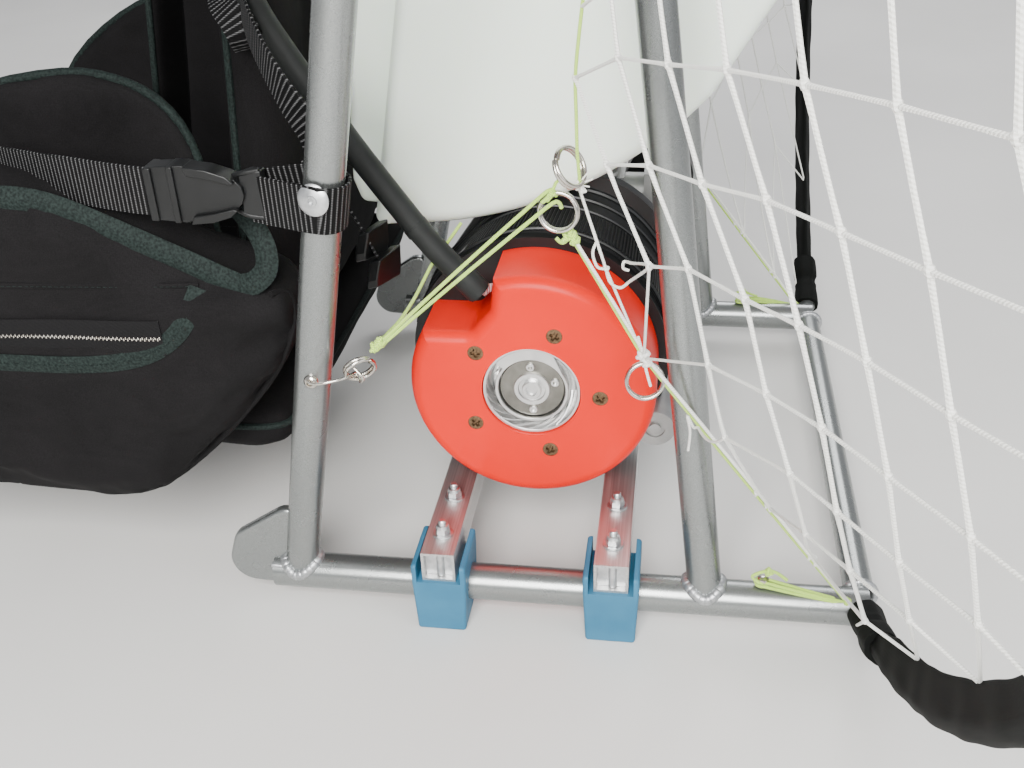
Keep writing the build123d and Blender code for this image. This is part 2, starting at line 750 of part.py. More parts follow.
def gearbox_carrier():
    """Plate behind the two rear cross tubes, with saddles that sit on them."""
    plate_y = carrier_face_y() - CARRIER_THICKNESS
    carrier = block((-58, 58), (plate_y, carrier_face_y()), (LOW_CROSS_Z - 20, HIGH_CROSS_Z + 20))
    for z in (LOW_CROSS_Z, HIGH_CROSS_Z):
        y = rear_point(z)[1]
        for x in (-46, 22):
            saddle = block((x, x + 24), (y, plate_y), (z - 9, z + 9))
            saddle -= rod((-200, y, z), (200, y, z), CROSS_R)
            carrier += saddle.solids().sort_by(Axis.Y)[-1]
    return carrier


def blade_section(radius, chord, thickness, twist):
    """Lens-shaped blade section at one radius, as a face square to the blade's length."""
    half = chord / 2
    outline = ThreePointArc((-half, 0), (0, thickness * 0.7), (half, 0)) + ThreePointArc(
        (half, 0), (0, -thickness * 0.3), (-half, 0)
    )
    plane = Plane(origin=(radius, 0, 0), x_dir=(0, 0, 1), z_dir=(1, 0, 0))
    return plane * Rot(0, 0, twist) * make_face(outline)


BLADE_TABLE = (
    # radius, chord, thickness, twist from the disc's plane
    (20, 70, 28, 34),
    (110, 84, 22, 29),
    (260, 108, 16, 21),
    (430, 98, 11, 15),
    (560, 74, 7, 12),
    (PROP_R, 34, 4, 10),
)


def propeller():
    """Two-blade wooden propeller, at rest across the frame."""
    blade = loft([blade_section(*row) for row in BLADE_TABLE])
    hub = rod((0, -HUB_THICKNESS / 2, 0), (0, HUB_THICKNESS / 2, 0), HUB_R)
    prop = hub + blade + Rot(0, 180, 0) * blade
    for sign in (-1, 1):
        prop -= rod((0, sign * HUB_THICKNESS / 2, 0), (0, sign * HUB_R * 2, 0), HUB_R)
    return Pos(0, PROP_Y, RING_Z) * prop


def propeller_shaft():
    """Output shaft with its flange in front of the propeller, and the clamping plate behind it."""
    front_y = PROP_Y - HUB_THICKNESS / 2
    shaft = rod((0, GEARBOX_Y + 62, RING_Z), (0, front_y, RING_Z), PROP_SHAFT_R)
    shaft += rod((0, front_y - PLATE_THICKNESS, RING_Z), (0, front_y, RING_Z), HUB_R - 4)
    return shaft


def propeller_plate():
    back_y = PROP_Y + HUB_THICKNESS / 2
    plate = rod((0, back_y, RING_Z), (0, back_y + PLATE_THICKNESS, RING_Z), HUB_R - 8)
    for turn in range(6):
        angle = math.radians(60 * turn + 30)
        x = 30 * math.cos(angle)
        z = RING_Z + 30 * math.sin(angle)
        plate += rod((x, back_y + PLATE_THICKNESS, z), (x, back_y + PLATE_THICKNESS + 6, z), 6)
    return plate


HOSE_POINTS = (
    # (Y, Z) along the hose from the starter's pocket to the pilot's shoulder
    (140, 239),
    (106, 276),
    (58, 345),
    (26, 396),
    (-2, 444),
    (-16, 505),
    (-14, 570),
    (0, 632),
    (24, 690),
)


def arc_radii(points):
    """An arc radius at each inner point, as large as its two runs allow."""
    radii = []
    for index in range(1, len(points) - 1):
        before = Vector(*points[index]) - Vector(*points[index - 1])
        after = Vector(*points[index + 1]) - Vector(*points[index])
        turn = math.radians(before.get_angle(after))
        radii.append(0.45 * min(before.length, after.length) / math.tan(turn / 2))
    return radii


def hose_path():
    points = [(HOSE_X, y, z) for y, z in HOSE_POINTS]
    return FilletPolyline(*points, radius=arc_radii(points))


def starter_hose():
    """Black hose that leads the starter's cord up to the pilot."""
    path = hose_path()
    hose = sweep(Plane(origin=path @ 0, z_dir=path % 0) * Circle(HOSE_R), path=path)
    return hose


def pull_handle():
    """Handle on the cord, parked in the hose's upper end."""
    path = hose_path()
    along = path % 1
    foot = (path @ 1) + along * SEAT_GAP
    top = foot + along * 24
    reach = Vector(38, 0, 0)
    stem = rod(foot, top, 7)
    grip = rod(top - reach, top + reach, 11)
    grip = fillet(grip.edges().filter_by(GeomType.CIRCLE), radius=6)
    return stem + grip


def hose_clips():
    """Two clips that hold the hose to the back pad's edge."""
    clips = []
    for index in (6, 7):
        y, z = HOSE_POINTS[index]
        clip = block((BACK_HALF_WIDTH, HOSE_X), (y - 9, y + 9), (z - 9, z + 9))
        clip += rod((HOSE_X, y, z - 9), (HOSE_X, y, z + 9), HOSE_R + 3)
        clips.append(clip)
    return group(clips) - starter_hose()


def arm_pivot():
    """Outer point of the left swing arm's pivot."""
    x, y, z = front_point(ARM_PIVOT_Z)
    return (x + UPRIGHT_R + PIVOT_OUT, y, z)


def arm_brackets():
    """Pivot blocks on the front uprights, each with its pin."""
    x, y, z = front_point(ARM_PIVOT_Z)
    outer = arm_pivot()[0]
    tube_side = outer - ARM_R - 1.5
    bracket = rod((x, y, z), (tube_side, y, z), 15)
    bracket += block((x, x + UPRIGHT_R + 3), (y - 15, y + 15), (z - 30, z + 30))
    bracket -= upright_core(front_point, z - 80, z + 80, 1)
    bracket = bracket.solids().sort_by(Axis.X)[-1]
    bracket += rod((tube_side, y, z), (outer - 8, y, z), PIVOT_PIN_R + 2)
    bracket += rod((outer - 8, y, z), (outer + 12, y, z), PIVOT_PIN_R)
    bracket += rod((outer + 9, y, z), (outer + 14, y, z), 9)
    return group(both_sides(bracket))


def swing_arm():
    """Left swing arm: pivot eye, bent tube and flat tip with the hang eye."""
    x, y, z = arm_pivot()
    eye = rod((x - 7.5, y, z), (x + 8.5, y, z), 17)
    tip_y = y - ARM_LENGTH
    tip_x = x - ARM_SET_IN
    points = [
        (x + 0.5, y - 10, z),
        (x + 0.5, y - ARM_STRAIGHT, z),
        (tip_x, tip_y + ARM_TIP_STRAIGHT, z),
        (tip_x, tip_y + 22, z),
    ]
    path = FilletPolyline(*points, radius=110)
    tube = sweep(Plane(origin=path @ 0, z_dir=path % 0) * Circle(ARM_R), path=path)
    tip = block((tip_x - 6, tip_x + 6), (tip_y - 4, tip_y + 40), (z - ARM_R, z + ARM_R))
    tip += rod((tip_x - 6, tip_y, z), (tip_x + 6, tip_y, z), 19)
    arm = eye + tube + tip
    arm -= rod((x - 20, y, z), (x + 20, y, z), PIVOT_PIN_R + RUNNING_GAP)
    arm -= rod((tip_x - 20, tip_y, z), (tip_x + 20, tip_y, z), ARM_EYE_R)
    return arm


def seat_cushion():
    pad = block(
        (-SEAT_HALF_WIDTH, SEAT_HALF_WIDTH),
        (SEAT_FRONT_Y, SEAT_BACK_Y),
        (SEAT_BOTTOM_Z, SEAT_BOTTOM_Z + SEAT_HEIGHT),
    )
    return fillet(pad.edges(), radius=24)


def back_pad():
    """Back pad, leaning a little, between the seat and the front uprights."""
    low = SEAT_BOTTOM_Z + SEAT_HEIGHT + SEAT_GAP
    outline = Polyline(
        (-BACK_THICKNESS - 6, low),
        (-6, low),
        (38, BACK_TOP_Z),
        (38 - BACK_THICKNESS, BACK_TOP_Z),
        close=True,
    )
    pad = side_prism(outline, (-BACK_HALF_WIDTH, BACK_HALF_WIDTH))
    return fillet(pad.edges(), radius=18)


def side_bag():
    """Large zipped bag at the side of the seat."""
    outline = (
        Line((-330, 104), (-110, 102))
        + ThreePointArc((-110, 102), (-26, 146), (26, 240))
        + Line((26, 240), (10, 292))
        + Line((10, 292), (-142, 352))
        + Line((-142, 352), (-330, 318))
        + Line((-330, 318), (-330, 104))
    )
    bag = side_prism(outline, (BAG_INNER_X, BAG_OUTER_X))
    bag = fillet(bag.edges().filter_by(Axis.X), radius=18)
    return fillet(bag.faces().sort_by(Axis.X)[-1].edges(), radius=14)


def ribbon(points, radius, thickness, xs):
    """A strap whose edge follows points in (Y, Z), as wide as xs, with rounded turns."""
    path = FilletPolyline(*points, radius=radius)
    outline = offset(path, amount=thickness, side=Side.RIGHT)
    return side_prism(outline, xs)


def shoulder_straps():
    """Padded straps that hang from the back pad's top down in front of it to the seat."""
    seat_top = SEAT_BOTTOM_Z + SEAT_HEIGHT
    front = -BACK_THICKNESS - 6
    points = [
        (10, BACK_TOP_Z),
        (-20, BACK_TOP_Z + 42),
        (-72, BACK_TOP_Z + 6),
        (-74, 560),
        (front - 34, 330),
        (front - 40, seat_top),
    ]
    return group(both_sides(ribbon(points, 24, 9, (62, 118))))


def frame_straps():
    """Webbing bands round the front uprights, with their tails forward to the side bags."""
    x, y, z = front_point(BAND_Z)
    half = STRAP_WIDTH / 2
    low = front_point(BAND_Z - half)
    high = front_point(BAND_Z + half)
    band = rod(low, high, UPRIGHT_R + STRAP_THICKNESS) - rod(low, high, UPRIGHT_R)
    tail = block((x - 1, x + 2), (BUCKLE_BACK_Y, y), (z - half, z + half))
    tail -= upright_core(front_point, BAND_Z - 60, BAND_Z + 60, 1)
    tail = tail.solids().sort_by(Axis.Y)[0]
    lead_x = BAG_OUTER_X + SEAT_GAP
    lead = block(
        (lead_x, lead_x + STRAP_THICKNESS),
        (BUCKLE_FRONT_Y - STRAP_REACH, BUCKLE_FRONT_Y),
        (z - half, z + half),
    )
    return group(both_sides(band + tail) + both_sides(lead))


def side_buckles():
    """Side-release buckles between the webbing's two halves."""
    x, y, z = front_point(BAND_Z)
    buckle = block(
        (x - BUCKLE_HALF_WIDTH, x + BUCKLE_HALF_WIDTH),
        (BUCKLE_FRONT_Y, BUCKLE_BACK_Y),
        (z - BUCKLE_HALF_HEIGHT, z + BUCKLE_HALF_HEIGHT),
    )
    buckle = fillet(buckle.edges().filter_by(Axis.X), radius=12)
    buckle = fillet(buckle.edges().filter_by(Axis.Y), radius=3)
    return group(both_sides(buckle))


# The cords on the cage's front edge, and where they are tied
CORD_R = 1.5
HITCH_WIDTH = 4
HITCH_RISE = 3
HITCH_ANGLE = CORNER_ANGLE - 2.2
STAY_OUT = 8
HOOK_Z = 221.5
HOOK_SCREW_R = 5
TIE_Z = RING_Z + 35


def hitch(point, along, radius):
    """A cord's turns round a tube of that radius, at a point on the tube's axis."""
    step = Vector(*along).normalized() * (HITCH_WIDTH / 2)
    low = Vector(*point) - step
    high = Vector(*point) + step
    hole = radius + SEAT_GAP
    return rod(low, high, hole + HITCH_RISE) - rod(low - step, high + step, hole)


def taut(points):
    """A taut cord through points, round at each inner one."""
    cord = Part()
    for start, end in zip(points, points[1:]):
        cord += rod(start, end, CORD_R)
    for point in points[1:-1]:
        cord += Pos(*point) * Sphere(CORD_R)
    return cord


def edge_line():
    """Points of the net's front edge on the left side, from the lower corner up to the middle of the top."""
    x = HALF_TRACK + STAY_OUT
    return [
        (x, REAR_Y - 92, 142.8),
        (x, REAR_Y - 162, 228),
        (x, 218.4, 352),
        (x, 217, 421),
        (x + 1, 224, 480),
        (x + 2, 236, 590),
        (x + 7, 238, TIE_Z),
        (x - 14, 214, RING_Z + 115),
        (x - 89, 205, RING_Z + 180),
        (x - 164, 203, RING_Z + 205),
        (0, 202, RING_Z + 212),
    ]


def net_stays():
    """The cord along the front edge of the net, with its ties to the frame and its stays to the front."""
    edge = edge_line()
    corner = ring_point(HITCH_ANGLE)
    beyond = ring_point(HITCH_ANGLE - 1)
    clear = RING_TUBE_R + SEAT_GAP + HITCH_RISE / 2
    foot = Vector(*ring_point(HITCH_ANGLE, RING_R - clear))
    side = taut([tuple(foot), *edge])
    side += hitch(corner, Vector(*beyond) - Vector(*corner), RING_TUBE_R)
    rear = rear_point(TIE_Z)
    out = UPRIGHT_R + SEAT_GAP + HITCH_RISE / 2
    side += hitch(rear, (REAR_LEAN_X, REAR_LEAN_Y, 1), UPRIGHT_R)
    side += rod((rear[0] + out, rear[1], TIE_Z), edge[6], CORD_R)
    front = front_point(HOOK_Z)
    surface = front[0] + UPRIGHT_R + SEAT_GAP
    side += rod((surface + 0.4, front[1], HOOK_Z), (surface + 4, front[1], HOOK_Z), HOOK_SCREW_R)
    stay = [(surface + 3, front[1], HOOK_Z), (HALF_TRACK + 19, 87, 243), (HALF_TRACK + STAY_OUT, 207, 335)]
    side += taut([*stay, edge[2]])
    top = rear_point(HIGH_CROSS_Z)
    cross_clear = CROSS_R + SEAT_GAP + HITCH_RISE / 2
    tie = hitch((0, top[1], HIGH_CROSS_Z), (1, 0, 0), CROSS_R)
    tie += rod((0, top[1], HIGH_CROSS_Z + cross_clear), edge[-1], CORD_R)
    tie += Pos(*edge[-1]) * Sphere(CORD_R)
    return side + mirror(side, about=Plane.YZ) + tie


PIECES = {
    "base_tubes": base_tubes,
    "rear_cross_tube": rear_cross_tube,
    "front_uprights": front_uprights,
    "rear_uprights": rear_uprights,
    "upper_cross_tubes": upper_cross_tubes,
    "side_braces": side_braces,
    "engine_bars": engine_bars,
    "rubber_feet": rubber_feet,
    "ring_stubs": ring_stubs,
    "ring_lower_left": lambda: ring_length(0),
    "ring_lower_right": lambda: mirror(ring_length(0), about=Plane.YZ),
    "ring_upper_left": lambda: ring_length(1),
    "ring_upper_right": lambda: mirror(ring_length(1), about=Plane.YZ),
    "ring_spokes": ring_spokes,
    "fuel_tank": fuel_tank,
    "tank_cap": tank_cap,
    "tank_lugs": tank_lugs,
    "starter_housing": starter_housing,
    "starter_hub": starter_hub,
    "fan_shroud": fan_shroud,
    "crankcase": crankcase,
    "cylinder": cylinder,
    "cylinder_head": cylinder_head,
    "plug_cap": plug_cap,
    "carburettor": carburettor,
    "air_filter": air_filter,
    "exhaust_pipe": exhaust_pipe,
    "silencer": silencer,
    "clutch_drum": clutch_drum,
    "upper_pulley": upper_pulley,
    "drive_belt": drive_belt,
    "gearbox": gearbox,
    "gearbox_carrier": gearbox_carrier,
    "propeller": propeller,
    "propeller_shaft": propeller_shaft,
    "propeller_plate": propeller_plate,
    "starter_hose": starter_hose,
    "pull_handle": pull_handle,
    "hose_clips": hose_clips,
    "arm_brackets": arm_brackets,
    "swing_arm_left": swing_arm,
    "swing_arm_right": lambda: mirror(swing_arm(), about=Plane.YZ),
    "seat_cushion": seat_cushion,
    "back_pad": back_pad,
    "side_bag_left": side_bag,
    "side_bag_right": lambda: mirror(side_bag(), about=Plane.YZ),
    "shoulder_straps": shoulder_straps,
    "frame_straps": frame_straps,
    "side_buckles": side_buckles,
    "net_stays": net_stays,
}

# The box of the whole model runs along Y from the seat's front to the propeller plate's bolts
REACH_BACK = PROP_Y + HUB_THICKNESS / 2 + PLATE_THICKNESS + 6
SHIFT_Y = -(SEAT_FRONT_Y + REACH_BACK) / 2

if __name__ == "__main__":
    os.makedirs("parts", exist_ok=True)
    for name, make in PIECES.items():
        shape = Pos(0, SHIFT_Y, 0) * make()
        export_step(shape, f"parts/{name}.step")
        print(name, len(shape.solids()), round(shape.volume))
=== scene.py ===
import bpy
import bmesh
import json
import math
import random
from mathutils import Matrix, Vector, noise
from mathutils.bvhtree import BVHTree


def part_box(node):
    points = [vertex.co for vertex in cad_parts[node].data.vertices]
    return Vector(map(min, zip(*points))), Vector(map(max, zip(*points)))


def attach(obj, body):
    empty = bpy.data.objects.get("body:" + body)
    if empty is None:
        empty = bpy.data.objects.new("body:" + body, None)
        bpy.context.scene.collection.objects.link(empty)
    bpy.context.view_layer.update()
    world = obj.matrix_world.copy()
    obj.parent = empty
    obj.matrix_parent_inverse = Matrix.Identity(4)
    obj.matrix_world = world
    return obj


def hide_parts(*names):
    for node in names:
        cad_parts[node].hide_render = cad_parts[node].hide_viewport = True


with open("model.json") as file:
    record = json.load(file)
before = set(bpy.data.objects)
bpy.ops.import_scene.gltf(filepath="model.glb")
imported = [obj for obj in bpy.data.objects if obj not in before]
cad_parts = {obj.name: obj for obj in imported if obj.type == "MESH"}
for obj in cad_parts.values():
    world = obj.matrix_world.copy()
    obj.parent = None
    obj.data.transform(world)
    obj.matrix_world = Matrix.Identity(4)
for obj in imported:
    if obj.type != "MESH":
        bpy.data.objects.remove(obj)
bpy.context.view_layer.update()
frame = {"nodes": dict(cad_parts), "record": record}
NODES = frame["nodes"]
MM = 0.001
# Blender's wave texture makes 20 * scale / (2 pi) bands a metre
WAVE_PER_THREAD = math.tau / 20

# Places taken from the frame, in metres: the front uprights' feet are at FOOT_Y on the base tubes' axes
BASE_R = 14 * MM
TRACK_HALF = 231 * MM
BASE_Z = 29.5 * MM
FOOT_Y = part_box("engine_bars")[0].y - 102.5 * MM


def spot(back, inward, up):
    """A point given in millimetres back from the front foot, inward from the left base tube and up from it."""
    return Vector((TRACK_HALF - inward * MM, FOOT_Y + back * MM, BASE_Z + up * MM))


# Camera fitted to the frame's tubes in the photograph
CAMERA_PIXELS = 1102.45
PHOTO_WIDTH = 1024
SENSOR_MM = 36
CAMERA_PITCH = math.radians(30.72)
CAMERA_YAW = math.radians(-9.28)
CAMERA_ROLL = math.radians(-2.27)
CAMERA_AT = spot(276.08, -635.5, 559.44)


def make_camera():
    pitch, yaw, roll = CAMERA_PITCH, CAMERA_YAW, CAMERA_ROLL
    forward = Vector((-math.cos(yaw) * math.cos(pitch), math.sin(yaw) * math.cos(pitch), -math.sin(pitch)))
    level = Vector((math.sin(yaw), math.cos(yaw), 0))
    rise = level.cross(forward)
    right = level * math.cos(roll) + rise * math.sin(roll)
    up = rise * math.cos(roll) - level * math.sin(roll)
    data = bpy.data.cameras.new("camera")
    data.sensor_width = SENSOR_MM
    data.lens = CAMERA_PIXELS * SENSOR_MM / PHOTO_WIDTH
    data.clip_start = 0.02
    camera = bpy.data.objects.new("camera", data)
    bpy.context.scene.collection.objects.link(camera)
    turn = Matrix((right, up, -forward)).transposed().to_4x4()
    camera.matrix_world = Matrix.Translation(CAMERA_AT) @ turn
    bpy.context.scene.camera = camera


def area_light(name, place, target, size, power, colour=(1, 1, 1)):
    data = bpy.data.lights.new(name, "AREA")
    data.size = size
    data.energy = power
    data.color = colour
    light = bpy.data.objects.new(name, data)
    bpy.context.scene.collection.objects.link(light)
    light.location = place
    aim = Vector(target) - Vector(place)
    light.rotation_euler = aim.to_track_quat("-Z", "Y").to_euler()


def make_stage():
    bpy.ops.mesh.primitive_plane_add(size=14, location=(0, 0, 0))
    floor = bpy.context.object
    floor.name = "floor"
    floor.data.materials.append(material_floor())
    world = bpy.data.worlds.new("studio")
    world.use_nodes = True
    world.node_tree.nodes["Background"].inputs["Color"].default_value = (0.86, 0.88, 0.92, 1)
    world.node_tree.nodes["Background"].inputs["Strength"].default_value = 0.55
    bpy.context.scene.world = world
    area_light("key", (2.1, 0.1, 1.5), (0, 0.1, 0.3), 1.2, 128, (1, 0.99, 0.96))
    area_light("fill", (1.5, 2.2, 1.7), (0, 0.1, 0.3), 1.8, 30, (0.95, 0.97, 1))
    area_light("back", (-2.4, 0.4, 2.2), (0, 0, 0.5), 1.5, 55)


def at(across, back, up):
    """A point in millimetres: across from the middle plane, back from the front feet and up from the floor."""
    return Vector((across * MM, FOOT_Y + back * MM, up * MM))


def flipped(points):
    """The same points on the other side of the middle plane."""
    return [Vector((-p.x, p.y, p.z)) for p in points]


def smooth(points, steps=6, closed=False):
    """Points of a smooth curve that passes through the given ones."""
    count = len(points)
    spans = count if closed else count - 1
    result = []
    for index in range(spans):
        if closed:
            near = [points[(index + k) % count] for k in (-1, 0, 1, 2)]
        else:
            near = [points[min(max(index + k, 0), count - 1)] for k in (-1, 0, 1, 2)]
        a, b, c, d = near
        for step in range(steps):
            t = step / steps
            result.append(
                0.5 * (2 * b + (c - a) * t + (2 * a - 5 * b + 4 * c - d) * t * t + (3 * b - a - 3 * c + d) * t**3)
            )
    if not closed:
        result.append(points[-1].copy())
    return result


def cross_frames(path, closed=False, first=None):
    """Two directions across the path at each of its points, turned as little as possible along it."""
    count = len(path)
    tangents = []
    for index in range(count):
        before = path[index - 1] if index or closed else path[index]
        after = path[(index + 1) % count] if index < count - 1 or closed else path[index]
        tangents.append((after - before).normalized())
    side = first or tangents[0].orthogonal()
    result = []
    for tangent in tangents:
        side = (side - tangent * side.dot(tangent)).normalized()
        result.append((side, tangent.cross(side)))
    return result


def circle(centre, axis, radius, count=32, first=None):
    """Points round a circle, in metres."""
    axis = Vector(axis).normalized()
    side = first or axis.orthogonal()
    side = (side - axis * side.dot(axis)).normalized()
    up = axis.cross(side)
    angles = [math.tau * k / count for k in range(count)]
    return [centre + (side * math.cos(a) + up * math.sin(a)) * radius for a in angles]


class Shape:
    """Collects skins of points into one mesh, with lengths along tubes and straps kept for the materials."""

    def __init__(self):
        self.verts = []
        self.faces = []
        self.slots = []
        self.places = []

    def skin(self, rings, closed=False, caps=True, loop=True, slot=0, scale=None):
        """Joins rings of points; loop closes each ring and closed joins the last ring to the first."""
        start = len(self.verts)
        count = len(rings[0])
        along = [0.0]
        for before, after in zip(rings, rings[1:]):
            along.append(along[-1] + (after[0] - before[0]).length)
        if closed:
            along.append(along[-1] + (rings[0][0] - rings[-1][0]).length)
        for ring in rings:
            self.verts.extend(ring)
        for r in range(len(rings) if closed else len(rings) - 1):
            low = start + r * count
            high = start + (r + 1) % len(rings) * count
            for k in range(count if loop else count - 1):
                n = (k + 1) % count
                self.faces.append((low + k, low + n, high + n, high + k))
                self.slots.append(slot)
                u, v = along[r], along[r + 1]
                self.places.append(((u, k / count), (u, (k + 1) / count), (v, (k + 1) / count), (v, k / count)))
        if caps and loop and not closed:
            end = start + (len(rings) - 1) * count
            for face in (range(start + count - 1, start - 1, -1), range(end, end + count)):
                self.faces.append(tuple(face))
                self.slots.append(slot)
                self.places.append(((0.0, 0.0),) * count)
        return self

    def tube(self, path, radius, sides=8, closed=False, caps=True, slot=0):
        """A round tube along a path in metres; radius in mm is one number or one for each point."""
        radii = radius if isinstance(radius, (list, tuple)) else [radius] * len(path)
        rings = []
        for point, (side, up), r in zip(path, cross_frames(path, closed), radii):
            angles = [math.tau * k / sides for k in range(sides)]
            rings.append([point + (side * math.cos(a) + up * math.sin(a)) * r * MM for a in angles])
        return self.skin(rings, closed, caps, slot=slot)

    def turned(self, centre, axis, profile, sides=24, slot=0, first=None):
        """A turned body: profile holds (radius, height along the axis) in mm from one end to the other."""
        axis = Vector(axis).normalized()
        rings = [circle(centre + axis * h * MM, axis, max(r, 0.01) * MM, sides, first) for r, h in profile]
        return self.skin(rings, slot=slot)

    def strap(self, path, across, width, thickness, slot=0):
        """Flat webbing along a path; across is its width's direction, one or one for each point."""
        half, deep = width * MM / 2, thickness * MM / 2
        outline = [(-1, -0.4), (-0.97, -1), (0.97, -1), (1, -0.4), (1, 0.4), (0.97, 1), (-0.97, 1), (-1, 0.4)]
        rings = []
        for index, point in enumerate(path):
            before = path[max(index - 1, 0)]
            after = path[min(index + 1, len(path) - 1)]
            tangent = (after - before).normalized()
            side = across[index] if isinstance(across, list) else across
            side = (side - tangent * side.dot(tangent)).normalized()
            out = tangent.cross(side)
            rings.append([point + side * half * a + out * deep * b for a, b in outline])
        return self.skin(rings, slot=slot)

    def prism(self, outline, depth, slot=0):
        """A flat outline of points pushed along the vector depth."""
        return self.skin([outline, [p + depth for p in outline]], slot=slot)

    def ball(self, centre, radius, slot=0, stretch=None, rings=5, sides=8):
        """A small lump, drawn out along the vector stretch."""
        axis = stretch.normalized() if stretch else Vector((0, 0, 1))
        reach = (stretch.length if stretch else 1.0) * radius * MM
        profile = []
        for k in range(rings + 1):
            angle = math.pi * k / rings
            profile.append(circle(centre - axis * reach * math.cos(angle), axis,
                                  max(math.sin(angle), 0.02) * radius * MM, sides))
        return self.skin(profile, slot=slot)


def piece(name, shape, *materials, body="root", crease=35, bevel=0.0, levels=0, replaces=()):
    """Makes an object of a Shape, riding on a body."""
    mesh = bpy.data.meshes.new(name)
    mesh.from_pydata(shape.verts, [], shape.faces)
    layer = mesh.uv_layers.new(name="along").data
    for polygon, places, slot in zip(mesh.polygons, shape.places, shape.slots):
        polygon.material_index = slot
        for loop, place in zip(polygon.loop_indices, places):
            layer[loop].uv = place
    for material in materials:
        mesh.materials.append(material)
    tidy = bmesh.new()
    tidy.from_mesh(mesh)
    bmesh.ops.recalc_face_normals(tidy, faces=tidy.faces)
    tidy.to_mesh(mesh)
    tidy.free()
    mesh.shade_smooth()
    mesh.set_sharp_from_angle(angle=math.radians(crease))
    obj = bpy.data.objects.new(name, mesh)
    bpy.context.scene.collection.objects.link(obj)
    if bevel:
        modifier = obj.modifiers.new("bevel", "BEVEL")
        modifier.width = bevel * MM
        modifier.segments = 3
        modifier.limit_method = "ANGLE"
        modifier.angle_limit = math.radians(40)
        modifier.harden_normals = False
    if levels:
        obj.modifiers.new("smooth", "SUBSURF").levels = levels
        obj.modifiers["smooth"].render_levels = levels
    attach(obj, body)
    if replaces:
        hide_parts(*replaces)
    return obj


class Shader:
    """A small helper that builds a node material on one Principled shader."""

    def __init__(self, name):
        self.material = bpy.data.materials.new(name)
        self.material.use_nodes = True
        self.tree = self.material.node_tree
        self.shader = self.tree.nodes["Principled BSDF"]
        self.coords = self.tree.nodes.new("ShaderNodeTexCoord").outputs["Object"]

    def set(self, **values):
        for name, value in values.items():
            label = name.replace("_", " ")
            self.shader.inputs[label].default_value = value
        return self

    def link(self, source, target):
        self.tree.links.new(source, target)
        return self

    def node(self, kind, **values):
        node = self.tree.nodes.new(kind)
        for name, value in values.items():
            if hasattr(node, name):
                setattr(node, name, value)
            else:
                node.inputs[name.replace("_", " ")].default_value = value
        return node

    def mapped(self, scale, turn=(0, 0, 0)):
        node = self.node("ShaderNodeMapping")
        node.inputs["Scale"].default_value = scale
        node.inputs["Rotation"].default_value = turn
        self.link(self.coords, node.inputs["Vector"])
        return node.outputs["Vector"]

    def noise(self, scale, detail=2.0, vector=None, roughness=0.5):
        node = self.node("ShaderNodeTexNoise", Scale=scale, Detail=detail, Roughness=roughness)
        self.link(vector or self.coords, node.inputs["Vector"])
        return node.outputs["Fac"]

    def wave(self, scale, direction="X", vector=None, distortion=0.0, profile="SIN"):
        node = self.node("ShaderNodeTexWave", Scale=scale, Distortion=distortion)
        node.bands_direction = direction
        node.wave_profile = profile
        self.link(vector or self.coords, node.inputs["Vector"])
        return node.outputs["Fac"]

    def ramp(self, fac, stops):
        node = self.node("ShaderNodeValToRGB")
        elements = node.color_ramp.elements
        while len(elements) < len(stops):
            elements.new(0.5)
        for element, (place, colour) in zip(elements, stops):
            element.position = place
            element.color = (*colour, 1) if len(colour) == 3 else colour
        self.link(fac, node.inputs["Fac"])
        return node.outputs["Color"]

    def math(self, operation, first, second):
        node = self.node("ShaderNodeMath", operation=operation)
        for index, value in enumerate((first, second)):
            if isinstance(value, (int, float)):
                node.inputs[index].default_value = value
            else:
                self.link(value, node.inputs[index])
        return node.outputs["Value"]

    def colour(self, fac, stops):
        return self.link(self.ramp(fac, stops), self.shader.inputs["Base Color"])

    def rough(self, fac, low, high):
        node = self.node("ShaderNodeMapRange")
        node.inputs["To Min"].default_value = low
        node.inputs["To Max"].default_value = high
        self.link(fac, node.inputs["Value"])
        return self.link(node.outputs["Result"], self.shader.inputs["Roughness"])

    def bump(self, height, strength, distance):
        node = self.node("ShaderNodeBump", Strength=strength, Distance=distance)
        self.link(height, node.inputs["Height"])
        if self.shader.inputs["Normal"].is_linked:
            before = self.shader.inputs["Normal"].links[0].from_socket
            self.link(before, node.inputs["Normal"])
        return self.link(node.outputs["Normal"], self.shader.inputs["Normal"])


def material_floor():
    s = Shader("floor_pale").set(Roughness=0.7)
    s.colour(s.noise(3.0, 4), [(0.3, (0.70, 0.69, 0.67)), (0.7, (0.76, 0.75, 0.73))])
    return s.material


def material_frame():
    """Silver-grey metallic paint: fine flakes, a soft orange peel and faint scuffs."""
    s = Shader("frame_paint").set(Metallic=0.85)
    flakes = s.noise(2600, 2)
    s.colour(flakes, [(0.35, (0.195, 0.205, 0.205)), (0.62, (0.33, 0.345, 0.34))])
    s.rough(s.noise(38, 4), 0.22, 0.34)
    s.bump(flakes, 0.25, 0.00006)
    s.bump(s.noise(260, 3), 0.12, 0.0002)
    return s.material


def material_bare_alloy():
    s = Shader("bare_alloy").set(Metallic=1.0)
    drawn = s.noise(55, 5, s.mapped((0.06, 14, 14)))
    s.colour(drawn, [(0.3, (0.50, 0.50, 0.50)), (0.7, (0.72, 0.72, 0.71))])
    s.rough(drawn, 0.40, 0.58)
    s.bump(drawn, 0.2, 0.0001)
    return s.material


def material_cast_alloy():
    s = Shader("cast_alloy").set(Metallic=0.9)
    grain = s.noise(900, 4)
    s.colour(s.noise(24, 5), [(0.3, (0.30, 0.30, 0.30)), (0.7, (0.47, 0.47, 0.46))])
    s.rough(grain, 0.42, 0.62)
    s.bump(grain, 0.5, 0.0003)
    return s.material


